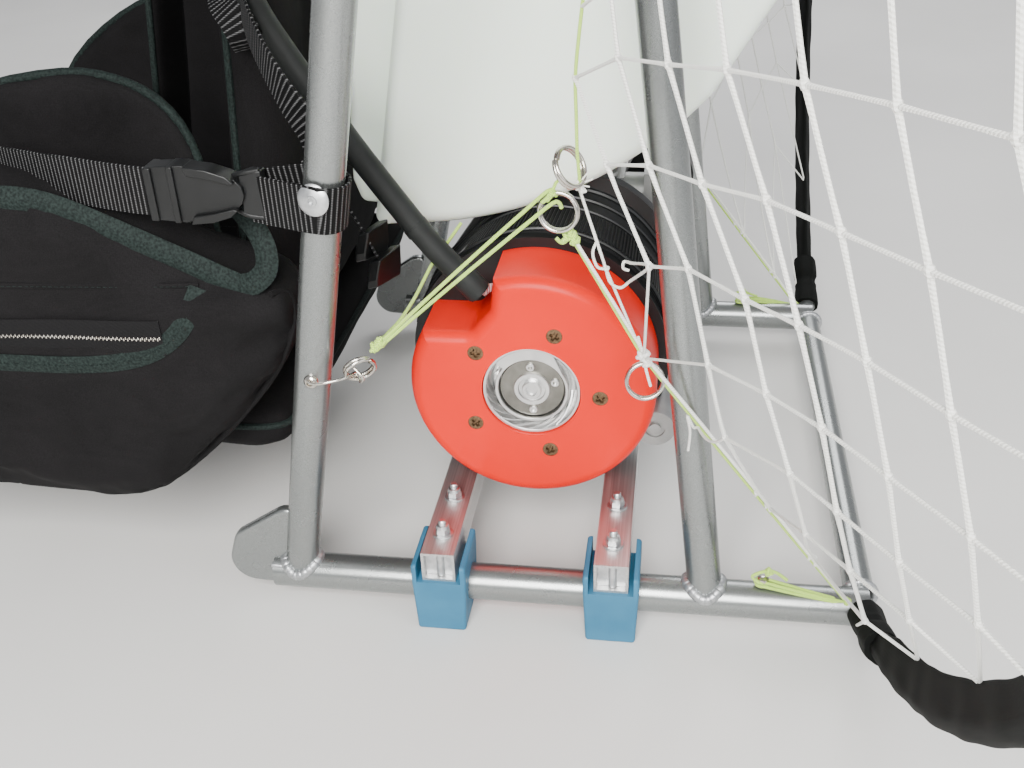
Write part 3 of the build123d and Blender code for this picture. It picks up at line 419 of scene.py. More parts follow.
def material_machined():
    s = Shader("machined_alloy").set(Metallic=1.0)
    s.colour(s.noise(60, 3), [(0.3, (0.66, 0.66, 0.66)), (0.7, (0.80, 0.80, 0.79))])
    s.rough(s.noise(400, 3), 0.27, 0.42)
    return s.material


def material_blue_rubber():
    s = Shader("blue_rubber").set(Specular_IOR_Level=0.25)
    s.colour(s.noise(30, 5), [(0.3, (0.028, 0.135, 0.235)), (0.7, (0.045, 0.18, 0.30))])
    s.rough(s.noise(120, 3), 0.42, 0.62)
    s.bump(s.noise(700, 3), 0.25, 0.0002)
    return s.material


def material_black_rubber():
    s = Shader("black_rubber").set(Specular_IOR_Level=0.3)
    s.colour(s.noise(40, 4), [(0.3, (0.005, 0.006, 0.006)), (0.7, (0.014, 0.0155, 0.015))])
    s.rough(s.noise(90, 3), 0.45, 0.65)
    s.bump(s.noise(800, 2), 0.2, 0.0001)
    return s.material


def material_black_plastic():
    s = Shader("black_plastic").set(Specular_IOR_Level=0.35)
    s.colour(s.noise(25, 4), [(0.3, (0.0035, 0.0038, 0.004)), (0.7, (0.009, 0.0095, 0.010))])
    s.rough(s.noise(60, 4), 0.28, 0.5)
    s.bump(s.noise(1500, 2), 0.3, 0.0001)
    return s.material


def material_red_plastic():
    s = Shader("red_plastic").set(Coat_Weight=0.03, Coat_Roughness=0.18, Specular_IOR_Level=0.15)
    s.colour(s.noise(9, 3), [(0.3, (0.68, 0.010, 0.002)), (0.7, (0.78, 0.015, 0.004))])
    s.rough(s.noise(45, 4), 0.28, 0.42)
    s.bump(s.noise(420, 2), 0.12, 0.0002)
    return s.material


def material_tank():
    """Natural polyethylene: milky, light passes into it, with faint blow-moulding waves."""
    s = Shader("tank_plastic").set(Roughness=0.38, Subsurface_Weight=0.55, Subsurface_Scale=0.012)
    s.shader.inputs["Subsurface Radius"].default_value = (0.9, 1.0, 0.7)
    s.colour(s.noise(5, 3), [(0.3, (0.82, 0.98, 0.80)), (0.7, (0.86, 1.0, 0.84))])
    s.bump(s.noise(14, 2), 0.15, 0.003)
    s.bump(s.noise(300, 3), 0.06, 0.0003)
    return s.material


def weave(name, dark, light, pitch, roughness=0.85, sheen=0.0, relief=0.35):
    """Plain-weave cloth, with pitch in threads per metre and the two threads' colours."""
    s = Shader(name).set(Roughness=roughness, Sheen_Weight=sheen, Specular_IOR_Level=0.15)
    waves = [s.wave(pitch * WAVE_PER_THREAD, axis) for axis in "XYZ"]
    first = s.math("MULTIPLY", waves[0], waves[1])
    second = s.math("MULTIPLY", waves[1], waves[2])
    third = s.math("MULTIPLY", waves[0], waves[2])
    cloth = s.math("ADD", s.math("ADD", first, second), third)
    specks = s.math("ADD", s.math("MULTIPLY", s.noise(1300, 3), 0.75), s.math("MULTIPLY", s.noise(18, 4), 0.35))
    s.colour(s.math("ADD", s.math("MULTIPLY", cloth, 0.04), specks), [(0.35, dark), (0.95, light)])
    s.bump(cloth, relief, 0.0003)
    s.bump(s.noise(260, 3), 0.15, 0.0004)
    return s.material


def material_exhaust():
    s = Shader("exhaust_paint").set(Metallic=0.3)
    s.colour(s.noise(20, 5), [(0.3, (0.022, 0.021, 0.02)), (0.75, (0.07, 0.055, 0.045))])
    s.rough(s.noise(150, 4), 0.5, 0.75)
    s.bump(s.noise(600, 3), 0.4, 0.0002)
    return s.material


def material_steel():
    s = Shader("turned_steel").set(Metallic=1.0)
    s.colour(s.noise(60, 4), [(0.3, (0.36, 0.36, 0.35)), (0.7, (0.55, 0.55, 0.54))])
    s.rough(s.noise(300, 4, s.mapped((8, 1, 1))), 0.22, 0.4)
    return s.material


def material_wood():
    """Varnished beech laminations, seen as thin glue lines along the blade."""
    s = Shader("prop_wood").set(Coat_Weight=0.8, Coat_Roughness=0.08)
    grain = s.noise(40, 6, s.mapped((0.5, 9, 9)))
    layers = s.wave(9, "Y", distortion=0.3)
    both = s.math("MULTIPLY_ADD", grain, 0.7)
    mixed = s.math("MULTIPLY", both, s.math("ADD", s.math("MULTIPLY", layers, 0.35), 0.65))
    s.colour(mixed, [(0.35, (0.16, 0.065, 0.02)), (0.75, (0.50, 0.27, 0.11))])
    s.rough(grain, 0.3, 0.45)
    return s.material


def laid(name, dark, light, pitch, strands, radius, roughness=0.7, sheen=0.2, relief=0.9):
    """Twisted cord: strands that run round it, pitch in mm for one turn, from the lengths kept along the tube; the
    grooves between strands are darkened in the colour as painted shade.
    """
    s = Shader(name).set(Roughness=roughness, Sheen_Weight=sheen)
    places = s.node("ShaderNodeUVMap", uv_map="along")
    parts = s.node("ShaderNodeSeparateXYZ")
    s.link(places.outputs["UV"], parts.inputs["Vector"])
    turns = s.math("MULTIPLY", parts.outputs["X"], math.tau * strands / (pitch * MM))
    around = s.math("MULTIPLY", parts.outputs["Y"], math.tau * strands)
    lay = s.math("SINE", s.math("ADD", turns, around), 0.0)
    height = s.math("MULTIPLY", s.math("ADD", lay, 1.0), 0.5)
    fuzz = s.noise(900, 3)
    # Colour follows the lay: painted shade darkens the grooves between strands and the crests stay lighter; the fuzz
    # noise is the fibres' own uneven tone
    s.colour(s.math("MULTIPLY", s.math("ADD", s.math("MULTIPLY", height, 0.6), 0.4), s.math("ADD", fuzz, 0.5)),
             [(0.25, dark), (0.85, light)])
    s.bump(height, relief, radius * 0.35 * MM)
    return s.material


def material_twine():
    return laid("white_twine", (0.62, 0.61, 0.56), (0.86, 0.86, 0.82), 3.6, 2, 1.0, relief=0.45)


def material_green_cord():
    return laid("green_cord", (0.25, 0.50, 0.02), (0.66, 0.95, 0.14), 3.0, 3, 1.3, 0.55, 0.3)


def material_nickel():
    s = Shader("nickel_plate").set(Metallic=1.0)
    s.colour(s.noise(80, 3), [(0.3, (0.50, 0.46, 0.40)), (0.7, (0.72, 0.69, 0.64))])
    s.rough(s.noise(300, 3), 0.12, 0.28)
    return s.material


def material_zinc():
    s = Shader("zinc_plate").set(Metallic=1.0)
    s.colour(s.noise(160, 4), [(0.3, (0.50, 0.51, 0.52)), (0.7, (0.76, 0.77, 0.78))])
    s.rough(s.noise(420, 4), 0.3, 0.48)
    s.bump(s.noise(900, 3), 0.1, 0.0001)
    return s.material


def material_weld():
    s = Shader("weld_bead").set(Metallic=0.85)
    s.colour(s.noise(320, 4), [(0.3, (0.33, 0.34, 0.35)), (0.7, (0.50, 0.51, 0.52))])
    s.rough(s.noise(200, 4), 0.3, 0.5)
    s.bump(s.noise(1200, 3), 0.3, 0.0001)
    return s.material


def material_binding():
    s = Shader("binding_tape").set(Roughness=0.75, Specular_IOR_Level=0.15)
    speck = s.noise(620, 4)
    s.colour(speck, [(0.35, (0.0045, 0.0075, 0.007)), (0.7, (0.017, 0.026, 0.0235))])
    s.bump(speck, 0.5, 0.0004)
    return s.material


def material_zip_tape():
    s = Shader("zip_tape").set(Roughness=0.8, Specular_IOR_Level=0.15)
    rows = s.wave(420, "Y", s.mapped((1, 1, 1), (0.5, 0, 0)))
    s.colour(rows, [(0.2, (0.002, 0.002, 0.0022)), (0.9, (0.013, 0.0125, 0.0135))])
    s.bump(rows, 0.6, 0.0003)
    return s.material


def material_thread():
    s = Shader("thread").set(Roughness=0.7, Specular_IOR_Level=0.2)
    s.colour(s.noise(900, 3), [(0.3, (0.012, 0.012, 0.0125)), (0.7, (0.032, 0.032, 0.033))])
    return s.material


def material_hub_disc():
    s = Shader("hub_disc").set(Metallic=0.9)
    s.colour(s.noise(90, 4), [(0.3, (0.17, 0.165, 0.145)), (0.7, (0.27, 0.26, 0.235))])
    s.rough(s.noise(300, 4), 0.32, 0.46)
    return s.material


def material_bronze():
    s = Shader("bronze_screw").set(Metallic=0.9)
    s.colour(s.noise(700, 4), [(0.3, (0.09, 0.055, 0.03)), (0.7, (0.24, 0.15, 0.085))])
    s.rough(s.noise(500, 3), 0.3, 0.5)
    return s.material


def material_starter_rope():
    return laid("starter_rope", (0.55, 0.01, 0.02), (0.75, 0.55, 0.55), 7.0, 3, 3.1, 0.6, 0.2)


def material_webbing():
    """Ribbed webbing: pale dotted ribs across black, from the lengths kept along each strap."""
    s = Shader("webbing").set(Roughness=0.7, Specular_IOR_Level=0.15)
    places = s.node("ShaderNodeUVMap", uv_map="along")
    parts = s.node("ShaderNodeSeparateXYZ")
    s.link(places.outputs["UV"], parts.inputs["Vector"])
    turns = s.math("MULTIPLY", parts.outputs["X"], math.tau / (3.3 * MM))
    ribs = s.math("ADD", s.math("MULTIPLY", s.math("SINE", turns, 0.0), 0.5), 0.5)
    dots = s.wave(900 * WAVE_PER_THREAD, "Z")
    pale = s.math("MULTIPLY", s.math("POWER", ribs, 4.0), s.math("ADD", s.math("MULTIPLY", dots, 0.8), 0.2))
    s.colour(s.math("MULTIPLY", pale, s.math("ADD", s.noise(700, 3), 0.5)),
             [(0.12, (0.0015, 0.0015, 0.0017)), (0.8, (0.12, 0.12, 0.123))])
    s.bump(ribs, 0.7, 0.0005)
    return s.material


def paint_nodes():
    """Gives every carried-over piece of the frame the material of its slot."""
    makers = {
        "frame": material_frame,
        "bare_alloy": material_bare_alloy,
        "blue_rubber": material_blue_rubber,
        "sleeve": lambda: weave("sleeve_cloth", (0.0003, 0.0006, 0.0003), (0.0018, 0.0026, 0.0017), 1500, 0.75, relief=0.15),
        "tank": material_tank,
        "black_plastic": material_black_plastic,
        "black_rubber": material_black_rubber,
        "red_plastic": material_red_plastic,
        "machined": material_machined,
        "cast_alloy": material_cast_alloy,
        "exhaust": material_exhaust,
        "steel": material_steel,
        "prop_wood": material_wood,
        "cordura": lambda: weave("cordura", (0.0016, 0.0015, 0.0016), (0.0115, 0.0105, 0.0115), 950, relief=0.05),
        "webbing": material_webbing,
        "stay_cord": material_green_cord,
    }
    made = {slot: maker() for slot, maker in makers.items()}
    for entry in frame["record"]["subparts"]:
        mesh = NODES[entry["node"]].data
        mesh.materials.clear()
        mesh.materials.append(made[entry["material_slot"]])
    return made


# The cage's ring, and the cords and the net that it carries
RING_R = 695
RING_Z = 684.99
RING_Y = 424
NET_RING_R = 690
NET_RING_Y = 414
CORNER_ANGLE = math.radians(159.0)
# The front edge of the net on the left side, from the lower corner up to the middle of the top:
# across, back and up in mm
EDGE_POINTS = (
    (238, 416, 40),
    (239, 331.9, 142.8),
    (239, 262, 228),
    (239, 218.4, 352),
    (239, 217, 421),
    (240, 224, 480),
    (241, 236, 590),
    (246, 238, 720),
    (225, 214, 800),
    (150, 205, 865),
    (75, 203, 890),
    (0, 202, 897),
)
# Knots measured on the net: column, row, share of the edge from its lower end, share of the way out to the ring
KNOTS = (
    (0, 1, 0.405, 0.000), (0, 2, 0.356, 0.104), (0, 3, 0.304, 0.169),
    (1, 1, 0.403, 0.141), (1, 2, 0.354, 0.228), (1, 3, 0.309, 0.290), (1, 4, 0.260, 0.294), (1, 5, 0.210, 0.274),
    (1, 6, 0.095, 0.000), (2, 7, 0.045, 0.000),
    (2, 1, 0.391, 0.271), (2, 2, 0.346, 0.356), (2, 3, 0.303, 0.421), (2, 4, 0.263, 0.452), (2, 5, 0.226, 0.502),
    (2, 6, 0.173, 0.492),
    (3, 1, 0.382, 0.393), (3, 2, 0.341, 0.476), (3, 3, 0.300, 0.526), (3, 4, 0.262, 0.573), (3, 5, 0.224, 0.617),
    (3, 6, 0.182, 0.645), (3, 7, 0.132, 0.710),
    (4, 1, 0.372, 0.520), (4, 2, 0.333, 0.589), (4, 3, 0.296, 0.638), (4, 4, 0.258, 0.695), (4, 5, 0.222, 0.747),
    (4, 6, 0.188, 0.799),
    (5, 1, 0.363, 0.637), (5, 2, 0.326, 0.699), (5, 3, 0.290, 0.754), (5, 4, 0.254, 0.822), (5, 5, 0.221, 0.884),
    (6, 1, 0.354, 0.753),
)
NET_LEAN = ((0.4336, -0.0045, -0.0401), (-0.0204, 0.1257, 0.0507))


def ring_point(angle, radius=RING_R, back=RING_Y):
    """A point of the cage's ring; angle is measured from the top towards the left side."""
    return at(radius * math.sin(angle), back, RING_Z + radius * math.cos(angle))


def edge_point(share):
    """A point of the net's front edge, at a share of its length from the lower corner."""
    points = [at(*row) for row in EDGE_POINTS]
    lengths = [(b - a).length for a, b in zip(points, points[1:])]
    left = max(min(share, 1.0), 0.0) * sum(lengths)
    for a, b, length in zip(points, points[1:], lengths):
        if left <= length:
            return a.lerp(b, left / length)
        left -= length
    return points[-1]


def net_point(share, out):
    """A point of the net between its front edge and the ring."""
    rim = ring_point(CORNER_ANGLE * (1 - share), NET_RING_R, NET_RING_Y)
    return edge_point(share).lerp(rim, out)


def knot_place(column, row):
    """Where a knot lies: measured, or carried on from the measured ones near it."""
    def plain(i, j):
        return [a + b * i + c * j for a, b, c in NET_LEAN]
    share, out = plain(column, row)
    weights = 0.15
    shift = [0.0, 0.0]
    for i, j, measured_share, measured_out in KNOTS:
        if (i, j) == (column, row):
            return measured_share, measured_out
        weight = 1 / ((i - column) ** 2 + (j - row) ** 2) ** 2
        weights += weight
        base = plain(i, j)
        shift[0] += weight * (measured_share - base[0])
        shift[1] += weight * (measured_out - base[1])
    return share + shift[0] / weights, out + shift[1] / weights


def clipped(first, second):
    """The stretch between two knots that lies on the net, or None."""
    (u0, v0), (u1, v1) = first, second
    low, high = 0.0, 1.0
    for start, change, floor, ceiling in ((u0, u1 - u0, 0.0, 1.0), (v0, v1 - v0, 0.0, 1.0)):
        if abs(change) < 1e-9:
            if not floor <= start <= ceiling:
                return None
            continue
        a, b = sorted(((floor - start) / change, (ceiling - start) / change))
        low, high = max(low, a), min(high, b)
    if high - low < 0.03:
        return None
    return [(u0 + (u1 - u0) * t, v0 + (v1 - v0) * t) for t in (low, high)]


# The lowest row of each of the first columns, which end on the front edge's cord or in the sleeve
LAST_ROWS = (3, 6, 7, 8, 7, 6)
# Where the last bars go into the sleeve's lip: column and row, then degrees from the top, radius and back in mm
NET_ENDS = {(3, 8): (158.2, 698, 416), (4, 7): (145.5, 677, 424), (5, 6): (135.0, 677, 424)}


def make_net(name, side, radius):
    """The cage's net on one side: bars of twine between lump knots, ending at the edge cord and in the sleeve."""
    shape = Shape()
    places = {}
    for i in range(17):
        last = LAST_ROWS[i] if i < len(LAST_ROWS) else 12
        for j in range(-17, last + 1):
            places[i, j] = knot_place(i, j)
    for (i, j), here in places.items():
        if (i, j) in NET_ENDS:
            continue
        for other in ((i + 1, j), (i, j + 1)):
            if other not in places:
                continue
            if other in NET_ENDS:
                angle, reach, back = NET_ENDS[other]
                path = run(net_point(*here), ring_point(math.radians(angle), reach, back), steps=4)
                shape.tube(path if side > 0 else flipped(path), radius * 0.9, sides=6)
                continue
            ends = clipped(here, places[other])
            if not ends:
                continue
            steps = 4
            path = []
            for k in range(steps + 1):
                share = ends[0][0] + (ends[1][0] - ends[0][0]) * k / steps
                out = ends[0][1] + (ends[1][1] - ends[0][1]) * k / steps
                path.append(net_point(share, out))
            straight = [path[0].lerp(path[-1], k / steps) for k in range(steps + 1)]
            path = [p.lerp(q, 0.8) for p, q in zip(path, straight)]
            if side < 0:
                path = flipped(path)
            here_r = radius if other[0] == i else radius * 0.85
            width = [here_r * 1.25] + [here_r] * (steps - 1) + [here_r * 1.25]
            shape.tube(path, width, sides=6)
        if 0 <= here[0] < 0.995 and 0 <= here[1] < 0.985:
            centre = net_point(*here)
            down = net_point(*places[i, j + 1]) - centre if (i, j + 1) in places else Vector((0, 0, 1))
            if side < 0:
                centre, down = flipped([centre, down])
            shape.ball(centre, radius * 1.75, stretch=down.normalized() * 1.5, rings=6)
    return piece(name, shape, MATERIALS["twine"])


def mirrored(shape):
    """A copy of a Shape for the other side of the middle plane."""
    other = Shape()
    other.verts = flipped(shape.verts)
    other.faces = list(shape.faces)
    other.slots = list(shape.slots)
    other.places = list(shape.places)
    return other


def both_sides(name, shape, *materials, **options):
    """The same piece on the left and, mirrored, on the right."""
    made = [piece(name + "_left", shape, *materials, **options)]
    made.append(piece(name + "_right", mirrored(shape), *materials, **options))
    return made


def knot(shape, centre, radius, seed, slot=0, turns=3):
    """A small tied knot: a cord wound loosely over itself."""
    dice = random.Random(seed)
    path = []
    for k in range(turns * 10 + 1):
        angle = math.tau * k / 10
        tilt = angle / 3.7
        reach = radius * (0.75 + 0.25 * math.sin(angle * 0.9 + seed)) * MM
        around = Vector((math.cos(angle), math.sin(angle) * math.cos(tilt), math.sin(angle) * math.sin(tilt)))
        path.append(centre + around * reach + Vector((dice.uniform(-0.2, 0.2) * MM, 0, 0)))
    shape.tube(path, radius * 0.45, sides=7, slot=slot)


def split_ring(shape, centre, axis, radius=12.0, wire=1.4, slot=0):
    """A key ring: two flat coils of wire side by side with their ends laid on the other coil."""
    axis = Vector(axis).normalized()
    side = axis.orthogonal().normalized()
    up = axis.cross(side)
    path = []
    for k in range(81):
        angle = math.tau * k / 40
        lift = 0.9 * max(-1.0, min(1.0, (k - 40) / 8)) * wire
        path.append(centre + (side * math.cos(angle) + up * math.sin(angle)) * radius * MM + axis * lift * MM)
    shape.tube(path, wire, sides=8, slot=slot)


# Places on the left side's rigging: across, back and up in mm
RING_ONE = (240, 206.5, 335.4)
RING_EDGE_ON = (241, 213.7, 364.0)
TWINE_KNOT = (239, 218.4, 352.5)
GREEN_KNOT = (240, 214.0, 319.5)
RING_TWO = (240, 262.0, 218.6)
RING_TWO_KNOT = (240, 260.9, 235.5)
HOOK_RING = (250, 72.7, 224.5)
HOOK_KNOT = (250, 87.0, 243.2)
HOOK_SCREW = (264, 42.6, 221.3)
TIE_SCREW = (231, 352.0, 44.5)
CORNER_TIE = (238, 413.0, 37.0)


def blended(first, second, share, sag=0.0):
    """A point between two, lowered by sag in mm."""
    return first.lerp(second, share) - Vector((0, 0, sag * MM))


def run(first, second, sag=0.0, steps=8):
    """A nearly straight run of cord from one point to another."""
    return [blended(first, second, k / steps, sag * 4 * (k / steps) * (1 - k / steps)) for k in range(steps + 1)]


def make_rigging():
    """Stays of green cord, key rings, hooks and white twine that tie the net's front edge to the frame."""
    green, twine, metal = Shape(), Shape(), Shape()
    cord_r, twine_r = 1.3, 0.95
    one, two = at(*RING_ONE), at(*RING_TWO)
    hook, screw = at(*HOOK_KNOT), at(*HOOK_SCREW)
    green_knot, two_knot, twine_knot = at(*GREEN_KNOT), at(*RING_TWO_KNOT), at(*TWINE_KNOT)
    corner = at(*CORNER_TIE)

    split_ring(metal, one, (1, -0.15, 0.1))
    split_ring(metal, at(*RING_EDGE_ON), (0.42, 0.78, 0.46))
    split_ring(metal, two, (1, 0.1, 0.25))
    split_ring(metal, at(*HOOK_RING), (0.75, 0.45, -0.45), 10.0)

    # Up from the first ring along the net's front edge to the middle of the top
    top_of_one = one + Vector((0.5 * MM, -4 * MM, 12 * MM))
    share = 0.345
    edge = [top_of_one, at(239.5, 207.5, 356)]
    while share < 1.0:
        edge.append(edge_point(share))
        share += 0.02
    edge.append(edge_point(1.0))
    green.tube(smooth(edge, 3), cord_r * 0.85, sides=7)
    knot(green, top_of_one, 2.6, 3)

    # Two strands from the hook to the first ring, looped over its upper front
    over = one + Vector((1.5 * MM, -9 * MM, 10.5 * MM))
    for offset, lift in ((0.0, 3.0), (3.2, -4.5)):
        start = hook + Vector((0.6 * MM, offset * 0.4 * MM, -offset * 0.4 * MM))
        end = over + Vector((0, (2.5 + offset) * MM, lift * MM))
        bowed = run(start, end, -1.2)
        tail = [end + Vector((-1.5 * MM, 4 * MM, -0.5 * MM)), end + Vector((-3 * MM, 5 * MM, -4 * MM))]
        green.tube(smooth(bowed + tail, 3), cord_r, sides=7)
    loop = circle(one + Vector((0, -7.5 * MM, 8.5 * MM)), (0, 1, -1), 3.2 * MM, 14)
    green.tube(loop, cord_r, sides=7, closed=True)
    loop = circle(one + Vector((0, -5.0 * MM, 10.0 * MM)), (0, 1, -0.6), 3.2 * MM, 14)
    green.tube(loop, cord_r, sides=7, closed=True)

    # The hook's own knot and the strand that goes in behind the hose
    for k, shift in enumerate(((0, 0, 0), (1.5, 2.5, 2.5), (-1.0, -2.5, -3.0))):
        knot(green, hook + Vector(shift) * MM, 3.4, 5 + k)
    inward = [hook, at(225, 88.1, 239.6), at(205, 91, 238.5), at(178, 96.1, 243.2), at(148, 104, 257),
              at(138, 111.5, 265.5), at(124, 121.6, 278)]
    green.tube(smooth(inward, 5), cord_r, sides=7)

    # Knot under the first ring, then a doubled cord down to the second ring and on to the lower corner
    for k, shift in enumerate(((0, 0, 1), (0.5, 2.0, -3.0), (0, -2.5, -1.0))):
        knot(green, green_knot + Vector(shift) * MM, 3.2, 11 + k)
    green.tube(smooth([green_knot, green_knot + Vector((1, -5, -4)) * MM, green_knot + Vector((1, -9, -1)) * MM], 5),
               cord_r, sides=7)
    white_cord_side = Vector((0.9, 0.9, 0.9)) * MM
    green.tube(run(green_knot, two_knot), cord_r * 0.95, sides=7)
    twine.tube(run(green_knot + white_cord_side, two_knot + white_cord_side * 2.2), 1.15, sides=7)
    green.tube(run(two_knot, corner, 1.5), cord_r * 0.8, sides=7)
    twine.tube(run(two_knot + white_cord_side * 1.6, corner + white_cord_side, -0.5), 1.3, sides=7)
    for k, share in enumerate((0.52, 0.57, 0.79, 0.82)):
        knot(twine, blended(two_knot, corner, share), 2.0, 21 + k, turns=2)
    for k, shift in enumerate(((0, 0, 0), (1.5, 2.0, -3.0), (0.5, -2.0, 2.5), (1.0, 1.0, 4.5))):
        knot(twine, two_knot + Vector(shift) * MM, 2.9, 31 + k)
    stray = [two_knot, two_knot + Vector((2, -2, 9)) * MM, two_knot + Vector((2.5, -4, 17)) * MM]
    twine.tube(smooth(stray, 5), twine_r, sides=6)
    hanging = [two_knot, two_knot + Vector((3, 2, -8)) * MM, two_knot + Vector((3, 5, -19)) * MM]
    twine.tube(smooth(hanging, 5), twine_r, sides=6)

    # White twine of the net's free edge, with its curl between two knots
    first_curl, second_curl = at(240, 235.7, 298.3), net_point(*knot_place(0, 3))
    knot(twine, twine_knot, 2.6, 41)
    knot(twine, twine_knot + Vector((0.5, 2.5, -3.5)) * MM, 2.2, 42)
    for end in ((6, 8), (9, 4), (7, -1)):
        twine.tube(run(twine_knot, twine_knot + Vector((0.5, *end)) * MM, steps=3), 0.5, sides=5)
    twine.tube(run(twine_knot, first_curl) + [two_knot.lerp(first_curl, 0.5), two_knot], twine_r, sides=6)
    twine.tube(run(second_curl, two_knot), twine_r, sides=6)
    curl = [first_curl, at(241, 238.5, 289.5), at(242, 245, 286.5), at(242.5, 251, 291.5), second_curl,
            at(243, 251.5, 304), at(243.5, 247.2, 305), at(243, 246.5, 300.5), at(242, 250, 298.5)]
    twine.tube(smooth(curl, 6), twine_r, sides=6)
    hook_end = [at(241, 229.5, 316), at(241.5, 227.6, 309), at(241.5, 230.6, 300), first_curl]
    twine.tube(smooth(hook_end, 5), twine_r, sides=6)
    for centre in (first_curl, second_curl):
        knot(twine, centre, 1.9, 51, turns=2)
    twine.tube(run(two_knot, net_point(*knot_place(1, 4))), twine_r, sides=6)
    slack_start = edge_point(0.172)
    slack_end = net_point(*knot_place(1, 5))
    twine.tube(run(slack_start, slack_end, 7), twine_r, sides=6)
    tail = [slack_start, slack_start + Vector((4, -3, 2)) * MM, at(244, 290.5, 196), at(244, 293, 183), at(244, 292.4, 168)]
    twine.tube(smooth(tail, 5), twine_r, sides=6)

    # The corner's ties: cord wound round a screw on the base tube and through the sleeve's tab
    fixing = at(*TIE_SCREW)
    for k, (spread, lift) in enumerate(((-4.2, 1.6), (3.8, 1.6), (-2.4, 4.2), (2.6, 4.4))):
        near = fixing + Vector((spread, 0, lift)) * MM
        far = corner + Vector((spread * 0.3, 0, lift * 0.4)) * MM
        bowed = [near, near.lerp(far, 0.3) + Vector((2.2, 0, 1.5)) * MM, near.lerp(far, 0.7) + Vector((1.5, 0, 1)) * MM, far]
        green.tube(smooth(bowed, 5), cord_r, sides=7)
    for lift, size in ((1.6, 4.2), (4.3, 3.4)):
        turn = circle(fixing + Vector((0, -1, lift)) * MM, (0, 0, 1), size * MM, 16)
        green.tube(turn, cord_r, sides=7, closed=True)
    tail = [fixing + Vector((3, -3, 4)) * MM, fixing + Vector((2, -8, 9)) * MM, fixing + Vector((0, 2, 13)) * MM,
            fixing + Vector((-1, 9, 11)) * MM, fixing + Vector((2, 17, 7)) * MM]
    green.tube(smooth(tail, 6), cord_r, sides=7)
    knot(green, fixing + Vector((0, 3, 12)) * MM, 3.0, 61)
    knot(green, corner + Vector((1, -2, 3)) * MM, 3.0, 62)
    metal.turned(fixing - Vector((0, 0, 1.2)) * MM, (0, 0, 1), [(0, 0), (2.2, 0), (2.2, 5.2), (4.4, 5.4), (4.1, 7.6), (2.4, 8.6), (0, 8.7)], 20)

    # The wire hook under its screw on the front upright
    eye = at(*HOOK_RING)
    start = screw + Vector((3, 4, 0)) * MM
    wire = [screw + Vector((1, -2, 1)) * MM, start, screw + Vector((2, 14, 1.5)) * MM, screw + Vector((-4, 24, 2)) * MM,
            eye + Vector((-3, -4, -5)) * MM, eye + Vector((2, 0, -9)) * MM, eye + Vector((5, 3, -4)) * MM,
            eye + Vector((3, -3, 2)) * MM]
    metal.tube(smooth(wire, 6), 1.0, sides=8)
    pan_screw(metal, screw, (1, -0.1, 0.05), 5.0)
    cords = both_sides("stay_cord", green, MATERIALS["green_cord"], crease=60)
    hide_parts("net_stays")
    both_sides("edge_twine", twine, MATERIALS["twine"], crease=60)
    both_sides("rings_and_hooks", metal, MATERIALS["nickel"], crease=50)


def pan_screw(shape, centre, axis, radius, slot=0):
    """A low round screw head with a shallow round dish turned into its top, standing on the point centre."""
    shape.turned(centre, axis, [(radius, -1.0), (radius, 0.6), (radius * 0.86, 1.9), (radius * 0.5, 2.5),
                                (radius * 0.44, 1.3), (0, 1.2)], 24, slot)


def hexagon(shape, centre, axis, across, low, high, slot=0, first=None):
    """A six-sided nut or head, across its flats in mm, with turned corners."""
    radius = across / math.sqrt(3)
    shape.turned(centre, axis, [(radius * 0.9, low), (radius, low + 0.5), (radius, high - 0.5), (radius * 0.88, high)],
                 6, slot, first)


FRONT_FOOT = (231, 0, 29.5)
FRONT_LEAN = (0.1025, 0.21, 1)
REAR_FOOT = (231, 311.5, 29.5)
REAR_LEAN = (-0.08, -0.121, 1)
UPRIGHT_R = 12.5
TUBE_R = 14


def upright_point(foot, lean, up):
    """The point of an upright's axis at a height above the floor."""
    rise = up - foot[2]
    return at(foot[0] + lean[0] * rise, foot[1] + lean[1] * rise, up)


def weld_path(foot, lean, count=120):
    """The line where an upright of the left side meets its base tube."""
    axis = Vector(lean).normalized()
    side = axis.cross(Vector((0, 1, 0))).normalized()
    up = axis.cross(side)
    centre = at(*foot)
    tube = at(foot[0], foot[1], foot[2])
    path = []
    for k in range(count):
        angle = math.tau * k / count
        start = centre + (side * math.cos(angle) + up * math.sin(angle)) * UPRIGHT_R * MM
        dx, dz = start.x - tube.x, start.z - tube.z
        a = axis.x**2 + axis.z**2
        b = 2 * (dx * axis.x + dz * axis.z)
        c = dx * dx + dz * dz - (TUBE_R * MM) ** 2
        step = (-b + math.sqrt(max(b * b - 4 * a * c, 0))) / (2 * a)
        path.append(start + axis * step)
    return path


def bead(shape, path, width, ripples, closed=True, slot=0):
    """A weld bead: overlapping scales laid along a path."""
    count = len(path)
    radii = []
    for k in range(count):
        wave = (k * ripples / count) % 1.0
        radii.append(width * (0.9 + 0.16 * wave * (1.5 - wave)))
    shape.tube(path, radii, sides=10, closed=closed, slot=slot)


def make_welds():
    shape = Shape()
    bead(shape, weld_path(FRONT_FOOT, FRONT_LEAN, 220), 4.6, 22)
    bead(shape, weld_path(REAR_FOOT, REAR_LEAN, 220), 4.6, 22)
    for y, z, radius, across in ((424, 29.5, 11.3, 231), (396, 29.5, 0, 0)):
        if not radius:
            continue
        ring = circle(at(across - 14.5, y, z), (1, 0, 0), radius * MM, 160)
        bead(shape, ring, 3.0, 18)
    both_sides("weld_beads", shape, MATERIALS["weld"], crease=60)


